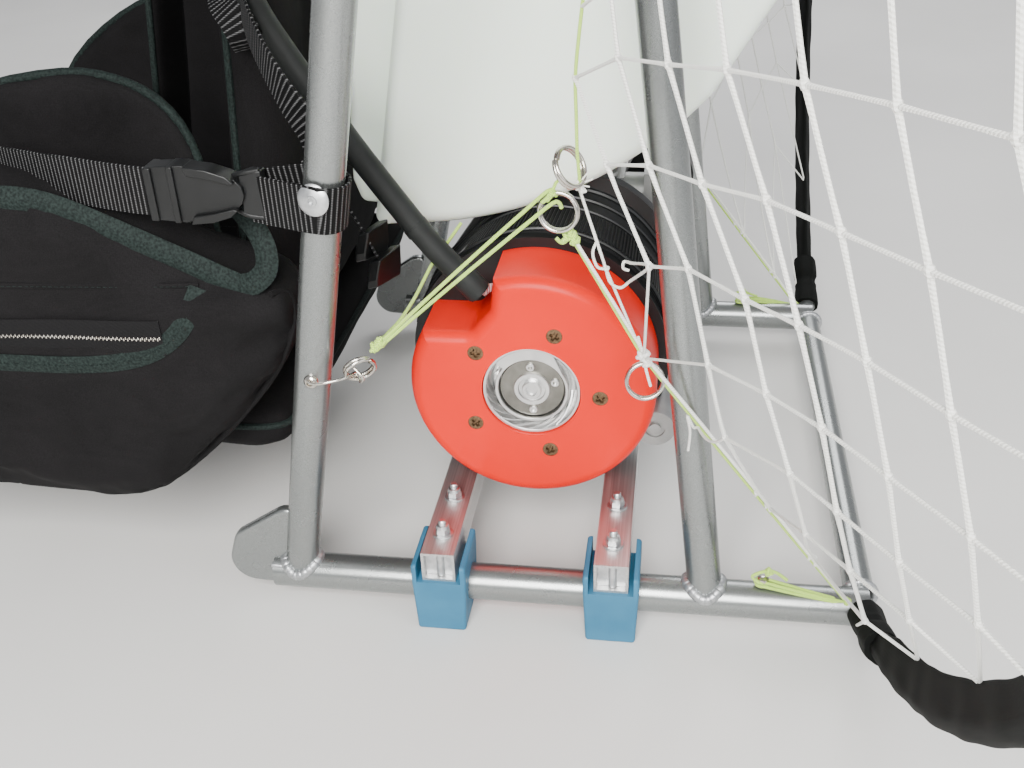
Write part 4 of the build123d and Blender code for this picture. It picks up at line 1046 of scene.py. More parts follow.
def make_bar_bolts():
    """Two nuts on their studs with washers at each end of both engine bars, and a bolt head in each open end."""
    steel = Shape()
    top = 71
    for y in (115, 242.5):
        for inward in (2.5, 49):
            base = at(231 - inward, y, top)
            steel.turned(base, (0, 0, 1), [(7.5, 0), (7.8, 0.4), (7.8, 1.2), (7.4, 1.5), (4, 1.5)], 28)
            hexagon(steel, base, (0, 0, 1), 10, 1.5, 6.2, first=Vector((0.9, 0.4, 0)))
            steel.turned(base, (0, 0, 1), [(5.0, 6.0), (5.0, 7.0), (4.3, 8.6), (3.1, 9.0), (3.0, 8.2), (2.9, 12.2),
                                           (2.2, 13.0), (0, 13.0)], 24)
        liner = [at(248, y + across, z) for across, z in ((-10.3, 48.2), (10.3, 48.2), (10.3, 68.9), (-10.3, 68.9))]
        steel.prism(liner, Vector((-1.5, 0, 0)) * MM)
        steel.tube([at(247.4, y + 1, z) for z in (48.4, 55, 62, 68.8)], 3.2, 12)
    both_sides("bar_bolts", steel, MATERIALS["zinc"], crease=35)


def outline_ring(across, points):
    """Points of a side outline, (back, up) in mm, at one distance across."""
    return [at(across, back, up) for back, up in points]


def drawn_in(points, amount):
    """A side outline drawn in towards its middle by about amount in mm."""
    middle_y = sum(p[0] for p in points) / len(points)
    middle_z = sum(p[1] for p in points) / len(points)
    result = []
    for y, z in points:
        reach = math.hypot(y - middle_y, z - middle_z)
        keep = 1 - amount / reach
        result.append((middle_y + (y - middle_y) * keep, middle_z + (z - middle_z) * keep))
    return result


def rumple(mesh, seed, height, size, stretch=(1, 1, 1)):
    """Soft random folds: moves each vertex along its normal by a smooth noise, in mm."""
    shift = Vector((seed * 1.7, seed * 2.3, seed * 0.9))
    scale = Vector(stretch) / (size * MM)
    for vertex in mesh.vertices:
        place = Vector((vertex.co.x * scale.x, vertex.co.y * scale.y, vertex.co.z * scale.z)) + shift
        fold = noise.noise(place) + 0.5 * noise.noise(place * 2.1)
        vertex.co += vertex.normal * fold * height * MM


def remeshed(obj, voxel):
    """Gives the object an even mesh of small faces, as cloth needs."""
    modifier = obj.modifiers.new("even", "REMESH")
    modifier.mode = "VOXEL"
    modifier.voxel_size = voxel * MM
    bpy.context.view_layer.update()
    made = bpy.data.meshes.new_from_object(obj.evaluated_get(bpy.context.evaluated_depsgraph_get()))
    obj.modifiers.clear()
    for material in obj.data.materials:
        if material.name not in made.materials:
            made.materials.append(material)
    obj.data = made


PADS = []


def pad(name, shape, material, voxel=6.0, held=None, cap=10.0, pressure=4.0, replaces=()):
    """A stuffed piece: an even mesh that swell_pads() blows up; held says which points stay, as at a seam."""
    obj = piece(name, shape, material, replaces=replaces)
    remeshed(obj, voxel)
    group = obj.vertex_groups.new(name="held")
    weighted = [v.index for v in obj.data.vertices if held and held(v.co)]
    group.add(weighted, 1.0, "REPLACE")
    cloth = obj.modifiers.new("cloth", "CLOTH")
    cloth.settings.use_pressure = True
    cloth.settings.uniform_pressure_force = pressure
    cloth.settings.effector_weights.gravity = 0
    cloth.settings.quality = 4
    cloth.settings.vertex_group_mass = "held"
    PADS.append((obj, cap))
    return obj


def swell_pads():
    """Runs the cloth of all the pads together, limits how far each point moved and keeps the result."""
    scene = bpy.context.scene
    for frame_number in range(1, 21):
        scene.frame_set(frame_number)
    graph = bpy.context.evaluated_depsgraph_get()
    for obj, cap in PADS:
        moved = [v.co.copy() for v in obj.evaluated_get(graph).data.vertices]
        for vertex, place in zip(obj.data.vertices, moved):
            step = place - vertex.co
            if step.length > cap * MM:
                step = step.normalized() * cap * MM
            vertex.co += step
    for obj, cap in PADS:
        obj.modifiers.clear()
    scene.frame_set(1)
    for obj, cap in PADS:
        obj.data.shade_smooth()


def surface(obj):
    """A search tree of the object's mesh, to lay seams on it."""
    tree = bmesh.new()
    tree.from_mesh(obj.data)
    bmesh.ops.triangulate(tree, faces=tree.faces)
    found = BVHTree.FromBMesh(tree)
    tree.free()
    return found


def laid_on(tree, points, direction, lift=0.0):
    """The points dropped on a surface along a direction, and raised by lift in mm."""
    direction = Vector(direction).normalized()
    result = []
    for point in points:
        place, normal, face, distance = tree.ray_cast(point - direction * 0.25, direction)
        if place is None:
            place, normal, face, distance = tree.find_nearest(point)
        result.append(place - direction * lift * MM)
    return result


def evened(points, times):
    """The points of a path with small bends averaged out; its ends stay."""
    for step in range(times):
        middle = [(a + b + c) / 3 for a, b, c in zip(points, points[1:], points[2:])]
        points = [points[0]] + middle + [points[-1]]
    return points


def binding(shape, path, normal, width, thickness, slot=0):
    """A folded tape laid along a seam, slightly domed across its width."""
    half = width * MM / 2
    rings = []
    for index, point in enumerate(path):
        before, after = path[max(index - 1, 0)], path[min(index + 1, len(path) - 1)]
        tangent = (after - before).normalized()
        up = normal[index] if isinstance(normal, list) else normal
        side = tangent.cross(up).normalized()
        out = side.cross(tangent).normalized()
        ring = []
        for k in range(9):
            a = -1 + 2 * k / 8
            ring.append(point + side * half * a + out * thickness * MM * (1.15 - a * a))
        for k in range(9):
            a = 1 - 2 * k / 8
            ring.append(point + side * half * a * 0.97 - out * 0.8 * MM)
        rings.append(ring)
    return shape.skin(rings, slot=slot)


def stitches(shape, path, length=3.0, gap=1.6, radius=0.35, lift=None, slot=0):
    """A row of short thread stitches along a path."""
    lift = lift or Vector((0, 0, 0))
    lengths = [(b - a).length for a, b in zip(path, path[1:])]
    total = sum(lengths)
    start = 0.0
    while start + length * MM < total:
        ends = []
        for target in (start, start + length * MM):
            left = target
            for a, b, span in zip(path, path[1:], lengths):
                if left <= span:
                    ends.append(a.lerp(b, left / span) + lift)
                    break
                left -= span
        if len(ends) == 2 and (ends[1] - ends[0]).length > 0:
            shape.tube(ends, radius, sides=5)
        start += (length + gap) * MM


# Side outline of the bag at its outer panel's piping, back and up in mm
BAG_OUTLINE = (
    (-330, 108), (-290, 102), (-214, 104), (-193, 102), (-157, 101), (-119, 104), (-86, 113), (-53, 141), (-20, 175),
    (5, 205), (23, 236), (31, 258), (31, 276), (22, 289), (2, 297), (-22, 305), (-52, 321), (-83, 336), (-113, 348),
    (-147, 355), (-200, 350), (-260, 334), (-330, 316), (-342, 280), (-344, 200), (-340, 140),
)
# The wide band along the bag's top edge, and its curl inwards at the back end: across, back and up in mm
BAG_TOP_BAND = ((-325, 309), (-260, 325), (-200, 339), (-147, 345), (-113, 338), (-80, 324), (-46, 306), (-15, 291), (2, 286))
BAG_CURL = ((257, 12, 289), (255, 20, 297), (252, 21, 309), (247, 15, 321), (240, 4, 331), (231, -10, 338))
BAG_PIPING = (
    (24, 287), (31, 274), (31, 257), (23, 236), (5, 206), (-20, 177), (-53, 143), (-86, 115), (-119, 106), (-157, 103),
    (-193, 104), (-214, 106), (-290, 104), (-330, 110),
)
BAG_ZIP = ((-300, 243), (-175, 246), (-116, 249), (-54, 251))
BAG_BAND = ((-300, 224), (-180, 227), (-141, 227), (-101, 229), (-70, 236), (-49, 249), (-35, 264), (-27, 284))
BAG_UPPER_SEAM = ((-300, 282), (-164, 284), (-106, 285), (-27, 285))
BAG_INNER = 205.5
BAG_PANEL = 257


def make_side_bags():
    """Padded bodies of the large zipped bags at the seat's sides; dress_side_bags() adds their bindings, piping, zip
    and mesh band.
    """
    cloth, trim = MATERIALS["cordura"], MATERIALS["binding"]
    body = Shape()
    outline = smooth([Vector((0, y, z)) for y, z in BAG_OUTLINE], 3, closed=True)
    outline = [(p.y, p.z) for p in outline]
    sections = ((BAG_INNER, 14), (BAG_INNER + 3, 6), (BAG_INNER + 14, 1), (236, -1), (BAG_PANEL - 6, 0),
                (BAG_PANEL - 1, 2), (BAG_PANEL, 8), (BAG_PANEL + 1, 20))
    body.skin([outline_ring(x, drawn_in(outline, amount)) for x, amount in sections])
    for side, name in ((1, "left"), (-1, "right")):
        shape = body if side > 0 else mirrored(body)
        bag = pad("side_bag_cloth_" + name, shape, cloth, voxel=5.0, cap=7.0, pressure=3.0,
                  held=lambda co: abs(co.x) < (BAG_INNER + 6) * MM, replaces=("side_bag_" + name,))
        rumple(bag.data, 3 + side, 4.5, 85, (1, 0.6, 1.2))
        rumple(bag.data, 8 + side, 1.3, 38, (1, 0.5, 1.3))


def dress_side_bags():
    """Seams laid on the swollen bags."""
    cloth, trim = MATERIALS["cordura"], MATERIALS["binding"]
    for side, name in ((1, "left"), (-1, "right")):
        tree = surface(bpy.data.objects["side_bag_cloth_" + name])
        inward = (-side, 0, 0)

        def line(points, lift, steps=5):
            flat = smooth([at(side * 262, y, z) for y, z in points], steps)
            return evened(laid_on(tree, flat, inward, lift), 8)

        out = Vector((side, 0, 0))
        tape = Shape()
        curl = smooth([at(side * x, y, z) for x, y, z in BAG_CURL], 5)
        binding(tape, line(BAG_TOP_BAND, 1.2) + curl, Vector((side, 0, 0.25)), 15, 2.2)
        tape.tube(line(BAG_PIPING, 1.0), 2.3, sides=8, slot=1)
        binding(tape, line(BAG_BAND, 0.4), out, 13, 0.9)
        binding(tape, line(BAG_UPPER_SEAM, 0.3), out, 4, 0.7, slot=1)
        piece("bag_trim_" + name, tape, trim, cloth)
        thread = Shape()
        stitches(thread, line(BAG_BAND, 1.5), 2.4, 1.8, 0.3)
        stitches(thread, line(BAG_UPPER_SEAM, 1.3), 2.4, 1.8, 0.25)
        piece("bag_stitches_" + name, thread, trim)
        zipper, teeth = line(BAG_ZIP, 0.6, 8), Shape()
        tape = Shape()
        binding(tape, zipper, out, 26, 0.5)
        piece("zip_tape_" + name, tape, MATERIALS["zip_tape"])
        up = Vector((0, 0, 1))
        total = (zipper[-1] - zipper[0]).length
        count = int(total / (1.5 * MM))
        for k in range(count):
            place = zipper[0].lerp(zipper[-1], k / count) + up * (0.5 if k % 2 else -0.5) * MM
            near = min(zipper, key=lambda p: (p - place).length)
            place.x = near.x + side * 0.7 * MM
            teeth.ball(place, 0.75, stretch=up * 1.6, rings=3, sides=5)
        piece("zip_teeth_" + name, teeth, MATERIALS["zip_metal"])


def make_seat():
    """Seat cushion with a crowned top, and the back pad with its channels."""
    cloth = MATERIALS["cordura"]
    wide, low, high = 201, 106, 166
    front, back = -397, -6
    shape = Shape()
    sections = ((front, 0.30), (front + 10, 0.62), (front + 40, 0.93), (-260, 1.0), (-140, 1.0), (back - 30, 0.95),
                (back - 8, 0.72), (back, 0.35))
    for_rings = []
    for y, share in sections:
        half_height = (high - low) / 2 * share
        middle = (high + low) / 2
        ring = []
        for k in range(40):
            angle = math.tau * k / 40
            c, s = math.cos(angle), math.sin(angle)
            x = (wide - 12 * (1 - share)) * math.copysign(abs(c) ** 0.35, c)
            z = half_height * math.copysign(abs(s) ** 0.6, s)
            ring.append(at(x, y, middle + z))
        for_rings.append(ring)
    shape.skin(for_rings)

    def seam(co):
        back_mm = (co.y - FOOT_Y) / MM
        across = abs(co.x) / MM
        near_channel = min(abs(back_mm + 140), abs(back_mm + 265)) < 3.5
        near_side = abs(across - 120) < 3.5
        return co.z / MM < 112 or (co.z / MM > 140 and (near_channel or near_side))

    seat = pad("seat_cloth", shape, cloth, voxel=6.0, held=seam, cap=12.0, pressure=5.0,
               replaces=("seat_cushion",))
    rumple(seat.data, 5, 1.6, 60)

    shape = Shape()
    low, high = 172, 697
    rings = []
    for z, share in ((low, 0.45), (low + 8, 0.8), (low + 30, 1), (300, 1), (430, 1), (560, 1), (high - 34, 0.98),
                     (high - 10, 0.8), (high, 0.45)):
        middle = -37 + 44 * (z - low) / (high - low)
        ring = []
        for k in range(44):
            angle = math.tau * k / 44
            c, s = math.cos(angle), math.sin(angle)
            half = 146 if z < 560 else 146 - (z - 560) * 0.12
            x = (half - 10 * (1 - share)) * math.copysign(abs(c) ** 0.4, c)
            y = 28 * share * math.copysign(abs(s) ** 0.6, s)
            ring.append(at(x, middle + y, z))
        rings.append(ring)
    shape.skin(rings)

    def back_seam(co):
        up = co.z / MM
        across = abs(co.x) / MM
        middle = -37 + 44 * (up - 172) / 525
        front_side = (co.y - FOOT_Y) / MM < middle
        near = min(abs(up - 300), abs(up - 430), abs(up - 560)) < 3.5 or abs(across - 52) < 3.5
        return (front_side and near) or not front_side and abs(across) < 100

    back = pad("back_cloth", shape, cloth, voxel=6.0, held=back_seam, cap=12.0, pressure=5.0,
               replaces=("back_pad",))
    rumple(back.data, 6, 1.4, 60)


# Side outline of the seat's side panels, back and up in mm, and how far across they stand
WING_OUTLINE = (
    (-54, 172), (-52, 300), (-58, 352), (-76, 380), (-104, 394), (-140, 398), (-200, 388), (-260, 364), (-316, 322),
    (-356, 262), (-372, 206), (-366, 176), (-300, 168), (-180, 168),
)
WING_ACROSS = 164


def make_wings():
    """Padded side panels of the seat, from the back pad forward, with bound edges."""
    outline = [(p.y, p.z) for p in smooth([Vector((0, y, z)) for y, z in WING_OUTLINE], 3, closed=True)]
    panel, trim = Shape(), Shape()
    sections = ((-8, 9), (-7, 3), (-3, 0), (3, 0), (7, 3), (8, 9))
    panel.skin([outline_ring(WING_ACROSS + x, drawn_in(outline, amount)) for x, amount in sections])
    made = both_sides("seat_wing", panel, MATERIALS["cordura"], crease=60)
    for obj in made:
        remeshed(obj, 6.0)
        rumple(obj.data, 12, 3.0, 90)
        rumple(obj.data, 14, 0.9, 34)
        obj.data.shade_smooth()
    edge = [at(WING_ACROSS, y, z) for y, z in outline]
    trim.tube(edge, 3.4, sides=8, closed=True)
    both_sides("wing_piping", trim, MATERIALS["binding"], crease=60)


def dress_pads():
    """Piping round the seat and the back pad, and stitching along their channels."""
    trim, cloth = MATERIALS["binding"], MATERIALS["cordura"]
    seat = surface(bpy.data.objects["seat_cloth"])
    back = surface(bpy.data.objects["back_cloth"])
    shape, thread = Shape(), Shape()
    for y in (-265, -140):
        line = laid_on(seat, [at(x, y, 200) for x in range(-185, 186, 10)], (0, 0, -1), 0.3)
        stitches(thread, line, 3.0, 1.8, 0.35)
    for x in (-120, 120):
        line = laid_on(seat, [at(x, y, 200) for y in range(-375, -30, 10)], (0, 0, -1), 0.3)
        stitches(thread, line, 3.0, 1.8, 0.35)
    for z in (300, 430, 560):
        line = laid_on(back, [at(x, -150, z) for x in range(-130, 131, 10)], (0, 1, 0), 0.3)
        stitches(thread, line, 3.0, 1.8, 0.35)
    for x in (-52, 52):
        line = laid_on(back, [at(x, -150, z) for z in range(195, 670, 10)], (0, 1, 0), 0.3)
        stitches(thread, line, 3.0, 1.8, 0.35)
    piece("pad_stitches", thread, MATERIALS["thread"])
    rim = []
    for k in range(72):
        angle = math.tau * k / 72
        c, s = math.cos(angle), math.sin(angle)
        x = 200 * math.copysign(abs(c) ** 0.35, c)
        y = -201 + 190 * math.copysign(abs(s) ** 0.35, s)
        rim.append(at(x, y, 140))
    middle = at(0, -201, 140)
    on_seat = []
    for point in rim:
        inward = middle - point
        inward.z = 0
        on_seat += laid_on(seat, [point], inward, 0.5)
    shape.tube(smooth(on_seat, 2, closed=True), 2.6, sides=8, closed=True)
    rim = []
    for k in range(72):
        angle = math.tau * k / 72
        c, s = math.cos(angle), math.sin(angle)
        x = 147 * math.copysign(abs(c) ** 0.3, c)
        z = 434 + 262 * math.copysign(abs(s) ** 0.3, s)
        y = -37 + 44 * (z - 172) / 525 - 12
        place, normal, face, distance = back.find_nearest(at(x, y, z))
        rim.append(place + normal * 0.5 * MM)
    shape.tube(smooth(rim, 2, closed=True), 2.6, sides=8, closed=True)
    piece("pad_piping", shape, trim)


CRANK_Y = 177
CRANK_Z = 165.5
STARTER_FACE = 175
SCREW_CIRCLE = 51.4
SCREW_TURN = math.radians(-2.5)


def screw_head(shape, centre, axis, radius, dome, cross, depth, slot=0, turn=0.3):
    """A screw head with a cross recess: rings of points from its middle to its edge, in mm."""
    axis = Vector(axis).normalized()
    side = axis.orthogonal().normalized()
    up = axis.cross(side)
    rings = []
    for k in range(9):
        reach = max(radius * k / 8, 0.05)
        ring = []
        for n in range(48):
            angle = math.tau * n / 48
            u, v = reach * math.cos(angle + turn), reach * math.sin(angle + turn)
            sunk = (abs(u) < cross * 0.28 and abs(v) < cross) or (abs(v) < cross * 0.28 and abs(u) < cross)
            height = dome * (1 - (reach / radius) ** 2) - (depth if sunk else 0)
            ring.append(centre + (side * math.cos(angle) + up * math.sin(angle)) * reach * MM + axis * height * MM)
        rings.append(ring)
    rings.append([p - axis * 1.5 * MM for p in rings[-1]])
    return shape.skin(rings, slot=slot)


def rings_of(centre, axis, profile, sides):
    """Rings for a turned piece with a hole: profile runs round its section as (radius, height) in mm."""
    axis = Vector(axis).normalized()
    return [circle(centre + axis * h * MM, axis, r * MM, sides) for r, h in profile]


def face_point(radius, angle, across):
    """A point in front of the starter at a radius and angle about the crankshaft."""
    return at(across, CRANK_Y + radius * math.cos(angle), CRANK_Z + radius * math.sin(angle))


def make_starter():
    """The starter's screws, its turned hub and the cord in its pocket."""
    out = Vector((1, 0, 0))
    bronze = Shape()
    for k in range(5):
        place = face_point(SCREW_CIRCLE, SCREW_TURN + k * math.tau / 5, STARTER_FACE + 0.1)
        screw_head(bronze, place, out, 6.0, 0.5, 3.6, 1.5, turn=0.3 + k)
    piece("starter_screws", bronze, MATERIALS["bronze"], crease=25)

    hub = Shape()
    centre = at(STARTER_FACE, CRANK_Y, CRANK_Z)
    profile = ((36.7, -25), (36.7, -3.2), (36.2, -2.6), (34.6, -2.6), (34.0, -3.2), (31.4, -13.5), (31.4, -15.5),
               (28.8, -15.5), (28.8, -12.8), (28.2, -12.4), (25.4, -12.4), (25.2, -13), (25.2, -17), (24, -17),
               (24, -25))
    hub.skin(rings_of(centre, out, profile, 96), closed=True)
    rim = ((27.6, -16), (27.6, -4.8), (27.2, -4.4), (25.6, -4.4), (25.2, -4.8), (25.2, -16))
    hub.skin(rings_of(centre, out, rim, 96), closed=True)
    hub.turned(centre, out, [(24.4, -20), (24.4, -8.1), (23.8, -7.5), (13.8, -7.0)], 72, 1)
    # Polished cam plate over the ring's upper part
    plate = [face_point(34.6, math.radians(a), STARTER_FACE - 7) for a in range(62, 141, 3)]
    plate += [face_point(27.0, math.radians(a), STARTER_FACE - 7) for a in range(140, 19, -4)]
    hub.prism(plate, Vector((3.4, 0, 0)) * MM)
    hub.turned(centre, out, [(13.8, -9.2), (13.6, -5.4), (13.1, -4.8), (10.4, -4.8), (10.0, -5.4), (9.8, -6.6),
                             (7.4, -6.6), (7.3, -3.4), (6.8, -2.8), (4.6, -2.8), (4.2, -3.4), (4.0, -5.2), (0, -5.2)], 60)
    for k in range(9):
        angle = math.radians(150 + 19 * k)
        path = [face_point(34.2 - 0.3 * t, angle + 0.055 * t, STARTER_FACE - 3.4 - 0.85 * t) for t in range(16)]
        hub.tube(path, 1.0, sides=6)
    for angle in (1.15, 2.9, 4.4):
        block = []
        for r, a in ((25.3, -0.09), (29.4, -0.08), (29.4, 0.08), (25.3, 0.09)):
            block.append(face_point(r, angle + a, STARTER_FACE - 13))
        hub.prism(block, Vector((3.2, 0, 0)) * MM)
    for radius, angle in ((18.3, 1.62), (18.3, 0.32), (18.3, 4.75)):
        place = face_point(radius, angle, STARTER_FACE - 9.0)
        hub.skin(rings_of(place, out, ((3.2, 0), (3.2, 3.0), (2.8, 3.4), (1.7, 3.4), (1.7, 1.8)), 20))
    piece("hub_turned", hub, MATERIALS["machined"], MATERIALS["hub_disc"], crease=28, replaces=("starter_hub",))

    rope = Shape()
    path = smooth([at(157, 141, 238), at(152, 147, 240), at(145, 152, 233), at(140, 158, 222)], 6)
    rope.tube(path, 3.1, sides=12)
    piece("starter_rope", rope, MATERIALS["starter_rope"])


# Sections of the shroud: across, then how far back and up its second circle stands, and that circle's radius, in mm
SHROUD_R = 100
SHROUD_FRONT = (108, 3, 6, 97)
SHROUD_FLARE = (74, 15, 40, 83)


def shroud_point(across, angle, lift=0.0):
    """A point on the shroud's skin whose normal stands at an angle, raised by lift in mm."""
    share = (across - SHROUD_FRONT[0]) / (SHROUD_FLARE[0] - SHROUD_FRONT[0])
    share = min(max(share, 0.0), 1.0)
    back, up, radius = [a + (b - a) * share for a, b in zip(SHROUD_FRONT[1:], SHROUD_FLARE[1:])]
    c, s = math.cos(angle), math.sin(angle)
    if back * c + up * s + radius > SHROUD_R:
        return at(across, CRANK_Y + back + (radius + lift) * c, CRANK_Z + up + (radius + lift) * s)
    return at(across, CRANK_Y + (SHROUD_R + lift) * c, CRANK_Z + (SHROUD_R + lift) * s)


def make_shroud_details():
    """Cooling ribs across the shroud's flare, its raised edges, and the bush beside it."""
    ribs = Shape()
    start, end = math.radians(-40), math.radians(168)
    count = 118
    for k in range(count):
        angle = start + (end - start) * k / (count - 1)
        path = [shroud_point(across, angle, 0.5) for across in (106.5, 102, 97, 92)]
        ribs.tube(path, 0.95, sides=6)
    for across, radius in ((108.5, 1.6), (90, 1.6), (82, 1.9), (74.5, 2.2)):
        path = [shroud_point(across, start + (end - start) * k / 80, 0.2) for k in range(81)]
        ribs.tube(path, radius, sides=8)
    piece("shroud_ribs", ribs, MATERIALS["black_plastic"], crease=40)
    bush = Shape()
    centre = at(0, 268.6, 116.8)
    bush.turned(centre, (1, 0, 0), [(14, 62), (14, 100), (16, 101), (16, 139), (15, 140.5), (8, 140.5), (8, 138),
                                    (4.5, 138), (4.5, 141), (0, 141.2)], 40)
    piece("engine_bush", bush, MATERIALS["cast_alloy"], crease=35)


def make_hose_fittings():
    """The hose's end sleeve in the starter's pocket and the joint further up."""
    shape = Shape()
    shape.tube([at(160, 139.2, 240), at(160, 133, 247.0), at(160, 126.5, 254.5), at(160, 124.5, 256.8)],
               [9.7, 9.8, 9.7, 9.0], sides=24)
    shape.tube([at(160, 99, 286), at(160, 95.5, 291)], [9.3, 9.2], sides=24)
    piece("hose_ferrule", shape, MATERIALS["black_rubber"], crease=50)


def make_toe_details():
    """The rounded lip of each toe plate and the weld that joins it to the base tube's end."""
    shape = Shape()
    for drop, width in ((8.5, 2.6), (-8.5, 2.2)):
        path = [at(231 + drop, y, 29.5 + 9 * math.cos((y + 19) / 30)) for y in range(-20, -4, 2)]
        bead(shape, path, width, 5, closed=False)
    both_sides("toe_weld", shape, MATERIALS["weld"], crease=60)


STRAP_WIDE = 31


def make_straps():
    """Ribbed webbing: the bands round the front uprights with their buckles, tails and washers."""
    web, plastic, metal = Shape(), Shape(), Shape()
    lean = Vector(FRONT_LEAN).normalized()
    centre = upright_point(FRONT_FOOT, FRONT_LEAN, 350)
    side = lean.cross(Vector((0, 1, 0))).normalized()
    side = side if side.x > 0 else -side
    ahead = side.cross(lean)
    ahead = ahead if ahead.y < 0 else -ahead
    # Round the tube's back, with both ends laid together in front of it
    around = []
    for k in range(25):
        angle = math.radians(-90 + 280 * k / 24)
        reach = (UPRIGHT_R + 1.6) * MM
        around.append(centre + (side * math.cos(angle) - ahead * math.sin(angle)) * reach)
    tail_end = at(265, 22, 350)
    near = centre + side * (UPRIGHT_R + 3.2) * MM + ahead * 2 * MM
    outer_loop = [tail_end, tail_end.lerp(near, 0.5) + Vector((0.5, 0, 0)) * MM, near]
    for k in range(1, 19):
        angle = math.radians(8 + 200 * k / 18)
        reach = (UPRIGHT_R + 1.8 + 1.4 * (1 - k / 18)) * MM
        outer_loop.append(centre + (side * math.cos(angle) - ahead * math.sin(angle)) * reach)
    outer_loop.append(centre - side * 11 * MM + ahead * 12 * MM)
    outer_loop.append(at(256, 24, 350))
    web.strap(smooth(outer_loop, 4), lean, STRAP_WIDE, 1.9)
    lead = [at(263, -34, 352), at(261, -52, 352), at(255, -75, 352), at(247, -100, 352), at(237, -128, 351),
            at(224, -160, 350), at(208, -190, 348)]
    web.strap(smooth(lead, 6), Vector((0, 0.12, 1)), STRAP_WIDE, 1.9)

    # Side-release buckle: its socket to the front, its prongs' base behind
    def plate(points, low, high):
        outline = [at(low, y + 6, 354 + (z - 347) * 0.76) for y, z in points]
        plastic.prism(outline, Vector((high - low, 0, 0)) * MM)

    socket = ((-46, 325), (-46, 369), (-22, 371), (-14, 368), (-6, 364), (4, 362), (10, 360), (14, 354), (15, 347),
              (13, 340), (8, 334), (-2, 330), (-14, 327), (-24, 323))
    plate(socket, 258, 272)
    plate(((-46, 325), (-46, 369), (-41, 369), (-41, 325)), 256, 274)
    plate(((-31, 323.5), (-31, 370.5), (-27, 370.5), (-27, 323.5)), 257, 274)
    plate(((-20, 371), (-6, 369), (6, 364), (11, 358), (8, 357), (-4, 361), (-18, 364)), 261, 275.5)
    plate(((-20, 323), (-6, 325), (6, 330), (11, 336), (8, 337), (-4, 333), (-18, 330)), 261, 275.5)
    plate(((12, 331), (12, 363), (18, 366), (26, 366), (26, 328), (18, 328)), 260.5, 269)
    for z, turn in ((364, 3), (343, -3)):
        plastic.tube(smooth([at(266, 13, z), at(268, 21, z + turn), at(267, 31, z + 1.5 * turn)], 5), 1.9, sides=8)

    # Large washer and its socket screw
    washer = at(281.2, 66.5, 355.6)
    axis = (1, -0.12, 0.06)
    metal.turned(washer, axis, [(9.8, -1.4), (10.0, -0.7), (9.4, -0.1), (6.2, 0.9), (3.4, 1.5), (3.2, 2.2), (2.0, 2.3),
                                (1.8, 0.9), (0, 0.9)], 40)
    made = both_sides("strap_webbing", web, MATERIALS["webbing"], crease=50)
    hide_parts("frame_straps")
    made = both_sides("buckle_parts", plastic, MATERIALS["black_plastic"], crease=30, bevel=1.1)
    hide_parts("side_buckles")
    both_sides("strap_washer", metal, MATERIALS["zinc"], crease=40)


def make_loose_straps():
    """Webbing between the pads and the uprights, and a second buckle behind them."""
    web, plastic = Shape(), Shape()
    loop = [at(152, -8, 452), at(186, 4, 446), at(214, 20, 430), at(236, 40, 408), at(243, 58, 384), at(240, 66, 362)]
    web.strap(smooth(loop, 6), Vector((0.3, 0.2, 1)), 26, 1.8)
    keeper = [at(150, -22, 448), at(160, -18, 444), at(168, -10, 436), at(170, -4, 424), at(160, -4, 414)]
    web.strap(smooth(keeper, 6), Vector((0, 1, 0.4)), 24, 1.8)
    low = [at(150, 20, 330), at(156, 34, 322), at(162, 48, 306), at(164, 58, 288), at(163, 66, 268)]
    web.strap(smooth(low, 6), Vector((0.9, 0.4, 0.2)), 24, 1.8)
    for offset, wide in ((0, 13), (20, 15)):
        centre = at(163, 62 + offset * 0.35, 280 - offset)
        outline = [centre + Vector((dx, dy, dz)) * MM for dx, dy, dz in (
            (-wide, 4, 9), (wide, -4, 9), (wide + 1, -7, -6), (wide - 3, -9, -14), (-wide + 3, 3, -14),
            (-wide - 1, 2, -6))]
        plastic.prism(outline, Vector((2, 9, 3)) * MM)
    both_sides("loose_webbing", web, MATERIALS["webbing"], crease=50)
    both_sides("loose_buckle", plastic, MATERIALS["black_plastic"], crease=30, bevel=1.5)


def make_shoulder_straps():
    """Padded shoulder straps with bound edges and webbing sewn on."""
    web, trim = Shape(), Shape()
    base = [(6, 698), (-8, 722), (-24, 741), (-50, 737), (-70, 706), (-78, 640), (-82, 560), (-88, 470), (-98, 380),
            (-108, 300), (-112, 230), (-112, 178)]
    path = smooth([at(90, y, z) for y, z in base], 5)
    pads = Shape()
    rings = []
    out = []
    for index, point in enumerate(path):
        before, after = path[max(index - 1, 0)], path[min(index + 1, len(path) - 1)]
        tangent = (after - before).normalized()
        normal = tangent.cross(Vector((1, 0, 0))).normalized()
        out.append(normal)
        ring = []
        for k in range(24):
            angle = math.tau * k / 24
            c, s = math.cos(angle), math.sin(angle)
            x = 27 * math.copysign(abs(c) ** 0.55, c)
            depth = 5.5 * math.copysign(abs(s) ** 0.8, s) * (1 + 0.08 * math.sin(index * 0.9))
            ring.append(point + Vector((x * MM, 0, 0)) + normal * depth * MM)
        rings.append(ring)
    pads.skin(rings)
    made = both_sides("shoulder_pad", pads, MATERIALS["cordura"], crease=60)
    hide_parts("shoulder_straps")
    for edge in (-1, 1):
        trim.tube([p + Vector((edge * 27 * MM, 0, 0)) for p in path], 2.4, sides=8)
    both_sides("shoulder_binding", trim, MATERIALS["binding"], crease=60)
    sign = 1 if out[len(out) // 2].y < 0 else -1
    web.strap([p + n * sign * 6.6 * MM for p, n in zip(path[6:], out[6:])], Vector((1, 0, 0)), 25, 1.6)
    both_sides("shoulder_webbing", web, MATERIALS["webbing"], crease=50)


